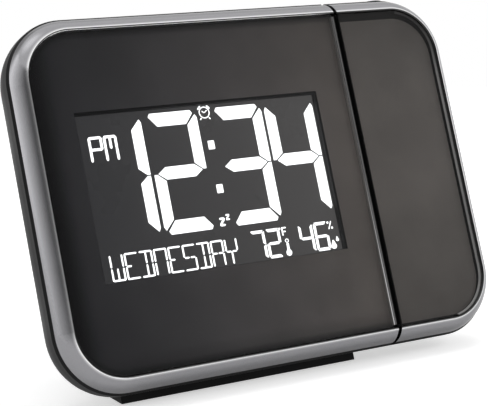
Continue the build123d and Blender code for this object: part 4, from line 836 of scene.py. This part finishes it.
# %% Signs
def alarm_sign(bm, x, z):
    """A round clock with two hands, two bells and two feet."""
    ring(bm, x, z, 2.05, 0.34)
    stroke(bm, (x, z - 0.15), (x - 0.9, z + 0.6), 0.3)
    stroke(bm, (x - 0.05, z - 0.15), (x + 1.1, z + 0.75), 0.3)
    for side in (-1, 1):
        bell = Vector((x + 1.75 * side, z + 1.75))
        across = Vector((0.62 * side, -0.62))
        stroke(bm, bell - across, bell + across, 0.55)
        stroke(bm, (x + 1.35 * side, z - 1.75), (x + 2.0 * side, z - 2.5), 0.4)


def thermometer(bm, x, z):
    """A bulb, a stem and a ring at its top."""
    foot, top = z + 0.75, z + 3.25
    disc(bm, x, z, 1.1)
    plate(bm, [(x - 0.5, foot), (x + 0.5, foot), (x + 0.45, top), (x - 0.45, top)])
    ring(bm, x - 0.05, z + 4.15, 0.72, 0.26)


def degrees_fahrenheit(bm, x, z):
    """A small ring and an F to its right."""
    ring(bm, x, z, 0.42, 0.2, 16)
    stroke(bm, (x + 1.0, z - 2.55), (x + 1.0, z + 0.45), 0.5)
    stroke(bm, (x + 0.85, z + 0.2), (x + 2.7, z + 0.2), 0.5)
    stroke(bm, (x + 0.95, z - 1.1), (x + 2.4, z - 1.1), 0.46)


def percent(bm, x, z):
    """A slanting stroke between two dots."""
    stroke(bm, (x - 0.7, z - 1.45), (x + 0.7, z + 1.45), 0.4)
    disc(bm, x - 0.75, z + 0.95, 0.42, 12)
    disc(bm, x + 0.7, z - 1.0, 0.42, 12)


alarm_sign(lcd, -17.55, 83.75)
letter_z(lcd, -19.75, 44.4, 2.15, 2.95, 0.74)
letter_z(lcd, -17.2, 46.25, 1.6, 2.05, 0.56)
thermometer(lcd, 4.45, 32.35)
degrees_fahrenheit(lcd, 2.35, 40.85)
drop(lcd, 22.65, 32.45, 1.15, 1.5)
drop(lcd, 24.45, 34.4, 0.62, 0.85)
percent(lcd, 22.55, 39.75)
thicken(lcd, SEGMENT_T)
make_piece(lcd, "lcd_segments", "clock_body", "backlight_white")

# %% [markdown]
# ## Prints behind the windows
# Both windows have a grey print on their back that hides the frame, and the smoke darkens it. Each
# print is a thin sheet between the window and its frame. The body's print has an opening for the
# display. Painted shade darkens it to black at its edge and makes it darker towards its left, its
# foot and its head, and a painted reflection colour makes it cooler at the left and warmer at the
# right. The arm's print stops short of the edge and leaves a clear dark rim, and painted shade
# makes it darker towards its foot and its head. A fade multiplies the ink's colour by a factor
# that changes between two places, in millimetres from the middle of the face.

# %% Print colours
LEFT = -FACE_W / 2
FOOT = -FACE_H / 2
HEAD = FACE_H / 2
INK_GRAIN = (1500, 0.000003)
# Painted shade: the body's print goes black near the crest line.
RIM_PAINTED_SHADE_AT = (-0.0034, -0.0007)
# Painted shade: darker at the left edge, along the foot, towards the left, low down and at the
# head.
BODY_PAINTED_SHADE = (
    ("X", LEFT + 2.0, LEFT + 11.2, 0.0, 1.0, True),
    ("Z", FOOT, FOOT + 7.5, 0.5, 1.0),
    ("X", LEFT, 33.0, 0.22, 1.0),
    ("Z", -40.0, -5.0, 0.92, 1.0),
    ("Z", 15.0, HEAD, 1.0, 0.68),
)
# Painted shade: the arm's print darker towards its foot and its head.
ARM_PAINTED_SHADE = (("Z", FOOT, -5.0, 0.72, 1.0), ("Z", 20.0, HEAD, 1.0, 0.72))


def fade_along(finish, axis, start, stop, low, high, soft=False):
    place = face_axis(finish, axis)
    finish.fade(finish.spread(place, low, high, start * MM, stop * MM, soft))


body_ink_and_painted_shade = moulded("window_print_and_painted_shade", (0.585, 0.538, 0.562), 0.5, *INK_GRAIN)
# Painted shade near the crest, then the painted shade of each fade.
body_ink_and_painted_shade.fade(body_ink_and_painted_shade.spread(crest_distance(body_ink_and_painted_shade), 1.0, 0.0, *RIM_PAINTED_SHADE_AT))
for fade in BODY_PAINTED_SHADE:
    fade_along(body_ink_and_painted_shade, *fade)
# A painted reflection colour: cooler at the left, warmer at the right.
painted_reflection_warmth = body_ink_and_painted_shade.spread(face_axis(body_ink_and_painted_shade, "X"), 0.0, 1.0, LEFT * MM, 33.0 * MM)
body_ink_and_painted_shade.fade(body_ink_and_painted_shade.blend(painted_reflection_warmth, (0.86, 0.945, 1.0), (1.0, 0.95, 0.83), 0.0, 1.0))
arm_ink_and_painted_shade = moulded("arm_window_print_and_painted_shade", (0.61, 0.553, 0.512), 0.5, *INK_GRAIN)
# Painted shade of the arm's print.
for fade in ARM_PAINTED_SHADE:
    fade_along(arm_ink_and_painted_shade, *fade)
print("fades", len(BODY_PAINTED_SHADE), "and", len(ARM_PAINTED_SHADE))

# %% Sheets behind the windows
PRINT_Y = 2.53
PRINT_T = 0.04
LEFT_CORNERS = {(False, True), (False, False)}
RIGHT_CORNERS = {(True, True), (True, False)}
BODY_PRINT = dict(x0=-78.9, x1=38.1, z0=1.1, z1=113.6, radius=15.6, corners=LEFT_CORNERS)
DISPLAY_OPENING = dict(x0=-65.6, x1=26.6, z0=30.5, z1=87.2)
ARM_PRINT = dict(x0=42.35, x1=78.1, z0=1.5, z1=111.4, radius=14.2, corners=RIGHT_CORNERS)


def rounded_sheet(x0, x1, z0, z1, radius, corners):
    """A flat sheet; corners lists the (right, top) pairs that are rounded."""
    bm = bmesh.new()
    middle = Vector(((x0 + x1) / 2, PRINT_Y, (z0 + z1) / 2))
    upright = Matrix.Translation(middle) @ Matrix.Rotation(math.pi / 2, 4, "X")
    size = Matrix.Diagonal((x1 - x0, z1 - z0, 1, 1))
    bmesh.ops.create_grid(bm, x_segments=1, y_segments=1, size=0.5, matrix=upright @ size)
    chosen = [v for v in bm.verts if (v.co.x > middle.x, v.co.z > middle.z) in corners]
    bmesh.ops.bevel(
        bm, geom=chosen, offset=radius, segments=20, profile=0.5, affect="VERTICES", material=-1,
    )
    return bm


def cut_opening(bm, x0, x1, z0, z1):
    """Cuts the sheet along an opening's four sides and drops what lies inside."""
    sides = [((x, 0, 0), (1, 0, 0)) for x in (x0, x1)] + [((0, 0, z), (0, 0, 1)) for z in (z0, z1)]
    for point, normal in sides:
        geom = [*bm.verts, *bm.edges, *bm.faces]
        bmesh.ops.bisect_plane(bm, geom=geom, plane_co=point, plane_no=normal)
    inside = []
    for face in bm.faces:
        centre = face.calc_center_median()
        if x0 < centre.x < x1 and z0 < centre.z < z1:
            inside.append(face)
    bmesh.ops.delete(bm, geom=inside, context="FACES")


body_print = rounded_sheet(**BODY_PRINT)
cut_opening(body_print, **DISPLAY_OPENING)
thicken(body_print, PRINT_T)
make_piece(body_print, "body_print", "clock_body", "lens_plastic", "window_print_and_painted_shade")

arm_print = rounded_sheet(**ARM_PRINT)
thicken(arm_print, PRINT_T)
make_piece(arm_print, "arm_print", "projection_arm", "arm_lens_plastic", "arm_window_print_and_painted_shade")

# %% [markdown]
# The edges of the windows get light painted into their colour. The body's window ends at the
# gap in a rounded edge with a painted highlight, a bright line low down that fades upwards, with a
# narrow grey lip beside it. A grey sheet inside that end paints the light seen in its clear end
# face. The arm's window ends in a black face at the gap, and at the right its edge shows as grey
# strips of painted reflection that fade towards the top. Each edge is a ribbon: lines drawn as
# rails and bridged.

# %% Ribbons along the windows' edges
STRIP_TURN = 80
STRIP_STEP = 5
EDGE_LOW = 1.6
EDGE_HIGH = 113.1
RIBBON_T = 0.04


def ribbon(*rails, thickness=RIBBON_T):
    """A thin strip across rails of equal length."""
    bm = bmesh.new()
    lines = []
    for rail in rails:
        verts = [bm.verts.new(point) for point in rail]
        lines.append([bm.edges.new(pair) for pair in zip(verts, verts[1:])])
    for first, second in zip(lines, lines[1:]):
        bmesh.ops.bridge_loops(bm, edges=first + second)
    bmesh.ops.solidify(bm, geom=list(bm.faces), thickness=thickness)
    return bm


def upright_rail(x, y):
    return [(x, y, EDGE_LOW), (x, y, EDGE_HIGH)]


def round_rail(inward, y):
    """The arm's outline, drawn inward from the crest line, from its top round to its bottom."""
    radius = CORNER_R - inward
    middle_x = FACE_W / 2 - CORNER_R
    middle_z = FACE_H - CORNER_R
    line = []
    for degrees in range(STRIP_TURN, -1, -STRIP_STEP):
        angle = math.radians(degrees)
        line.append((middle_x + radius * math.cos(angle), y, middle_z + radius * math.sin(angle)))
    return line + [(x, y, FACE_H - z) for x, y, z in reversed(line)]


def window_edge(bm, name, body, slot, finish):
    """An edge piece; it is too thin and clear to throw a shadow."""
    make_piece(bm, name, body, slot, finish).visible_shadow = False


# %% Edges of the body's window
EDGE_GRAIN = (1500, 0.000002)
THIN = 0.015

# A grey sheet in the window's end paints the light seen in its clear end face.
moulded("window_side_painted_light", (0.34, 0.32, 0.305), 0.4, *EDGE_GRAIN)
side = ribbon(upright_rail(38.15, 0.95), upright_rail(38.15, 2.45))
window_edge(side, "window_side_painted_light", "clock_body", "lens_plastic", "window_side_painted_light")

# A painted highlight along the window's rounded end: bright low down, fading upwards.
painted_end_highlight = moulded("window_end_painted_highlight", (0.62, 0.62, 0.62), 0.3, *EDGE_GRAIN)
fade_along(painted_end_highlight, "Z", -42.0, 0.0, 1.0, 0.13)
end_rails = upright_rail(37.68, 0.52), upright_rail(38.0, 0.55), upright_rail(38.23, 0.83)
end = ribbon(*end_rails, thickness=THIN)
window_edge(end, "window_end_painted_highlight", "clock_body", "lens_plastic", "window_end_painted_highlight")

moulded("window_lip", (0.105, 0.104, 0.103), 0.4, *EDGE_GRAIN)
lip = ribbon(upright_rail(38.26, 0.7), upright_rail(38.88, 0.7))
window_edge(lip, "window_lip", "clock_body", "lens_plastic", "window_lip")

# %% Edges of the arm's window
# Painted reflections along the arm window's right edge, light low down and fading towards the top.
ARM_PAINTED_REFLECTIONS = (
    ("arm_window_strip", 0.62, round_rail(0.79, 1.0), round_rail(1.35, 1.6)),
    ("arm_window_rim", 0.22, round_rail(0.66, 0.8), round_rail(0.95, 0.52)),
)

arm_end = ribbon(upright_rail(40.64, 0.57), upright_rail(40.64, 4.5))
window_edge(arm_end, "arm_window_end", "projection_arm", "arm_lens_plastic", "black_frame_plastic")
for name, tone, *rails in ARM_PAINTED_REFLECTIONS:
    painted_edge_reflection = moulded(name, (tone, tone * 0.987, tone * 0.976), 0.4, *EDGE_GRAIN)
    fade_along(painted_edge_reflection, "Z", 28.0, 52.0, 1.0, 0.08, True)
    strip = ribbon(*rails, thickness=THIN)
    window_edge(strip, name, "projection_arm", "arm_lens_plastic", name)

# %% [markdown]
# ## Back of the clock
# Two of the setting buttons carry a plus and a minus, moulded a little proud of their caps and
# filled with white. Each cell has a copper band printed round its positive end, seen when the
# battery door is open; a band is an open cylinder given some thickness.

# %% Plus and minus on the buttons
BUTTON_FRONT = 28.0
BUTTON_Z = 84.0
BAR_L = 2.8
BAR_W = 0.6
BAR_ROUND = 0.05
MARKS = (
    ("down_mark", "down_button", -26.0, ((BAR_L, BAR_W, 0.12),)),
    ("up_mark", "up_button", -13.0, ((BAR_L, BAR_W, 0.12), (BAR_W, BAR_L, 0.13))),
)


def mark_bar(bm, x, width, height, proud):
    """A low bar on a button's cap, with its edges rounded."""
    at = Matrix.Translation((x, BUTTON_FRONT, BUTTON_Z))
    size = Matrix.Diagonal((width, proud * 2, height, 1))
    made = bmesh.ops.create_cube(bm, size=1.0, matrix=at @ size)
    edges = {edge for vert in made["verts"] for edge in vert.link_edges}
    bmesh.ops.bevel(
        bm, geom=list(edges), offset=BAR_ROUND, segments=2, profile=0.5, affect="EDGES",
        material=-1,
    )


moulded("mark_white", (0.62, 0.62, 0.61), 0.45, 2200, 0.00001)
for name, body, x, bars in MARKS:
    mark = bmesh.new()
    for bar in bars:
        mark_bar(mark, x, *bar)
    make_piece(mark, name, body, "button_plastic", "mark_white")

# %% Bands round the cells
CELL_Y = 18.7
CELL_R = 5.25
BAND_L = 9.0
BAND_T = 0.03
BAND_SIDES = 64
CELL_BANDS = ((-1.2, 28.3), (-39.3, 39.7))

metal("cell_band", (0.68, 0.38, 0.2), 0.3, (12, 1, 1))
bands = bmesh.new()
for x, z in CELL_BANDS:
    along = Matrix.Translation((x, CELL_Y, z)) @ Matrix.Rotation(math.pi / 2, 4, "Y")
    bmesh.ops.create_cone(
        bands, cap_ends=False, segments=BAND_SIDES, radius1=CELL_R + BAND_T,
        radius2=CELL_R + BAND_T, depth=BAND_L, matrix=along,
    )
bmesh.ops.solidify(bands, geom=list(bands.faces), thickness=BAND_T / 2)
make_piece(bands, "cell_bands", "clock_body", "cell_jacket", "cell_band")

# %% [markdown]
# ### Springs under the snooze bar
# A spring gets shorter when the bar is pressed. The two springs are wound again here: a small
# circle is spun round the spring's axis and lifted a little at each step, and the wound coils
# stand in for the imported springs, which are hidden.

# %% Snooze springs
SPRING_XS = (-27.5, 21.5)
SPRING_Y = 13.6
SPRING_LOW = 106.1
SPRING_L = 5.9
COIL_R = 1.75
WIRE_R = 0.25
WIRE_SIDES = 12
TURNS = 4
TURN_STEPS = 24
WINDING_STEPS = TURNS * TURN_STEPS

coils = bmesh.new()
for x in SPRING_XS:
    start = Matrix.Translation((x + COIL_R, SPRING_Y, SPRING_LOW))
    made = bmesh.ops.create_circle(
        coils, cap_ends=True, segments=WIRE_SIDES, radius=WIRE_R,
        matrix=start @ Matrix.Rotation(math.pi / 2, 4, "X"),
    )
    edges = {edge for vert in made["verts"] for edge in vert.link_edges}
    faces = {face for vert in made["verts"] for face in vert.link_faces}
    bmesh.ops.spin(
        coils, geom=[*made["verts"], *edges, *faces], cent=(x, SPRING_Y, 0), axis=(0, 0, 1),
        dvec=(0, 0, SPRING_L / WINDING_STEPS), angle=TURNS * 2 * math.pi, steps=WINDING_STEPS,
        use_merge=False,
    )
print("coils reach from", min(v.co.z for v in coils.verts), "to", max(v.co.z for v in coils.verts))
piece = make_piece(coils, "snooze_coils", "clock_body", "spring_steel")
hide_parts("snooze_springs")
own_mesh(piece)
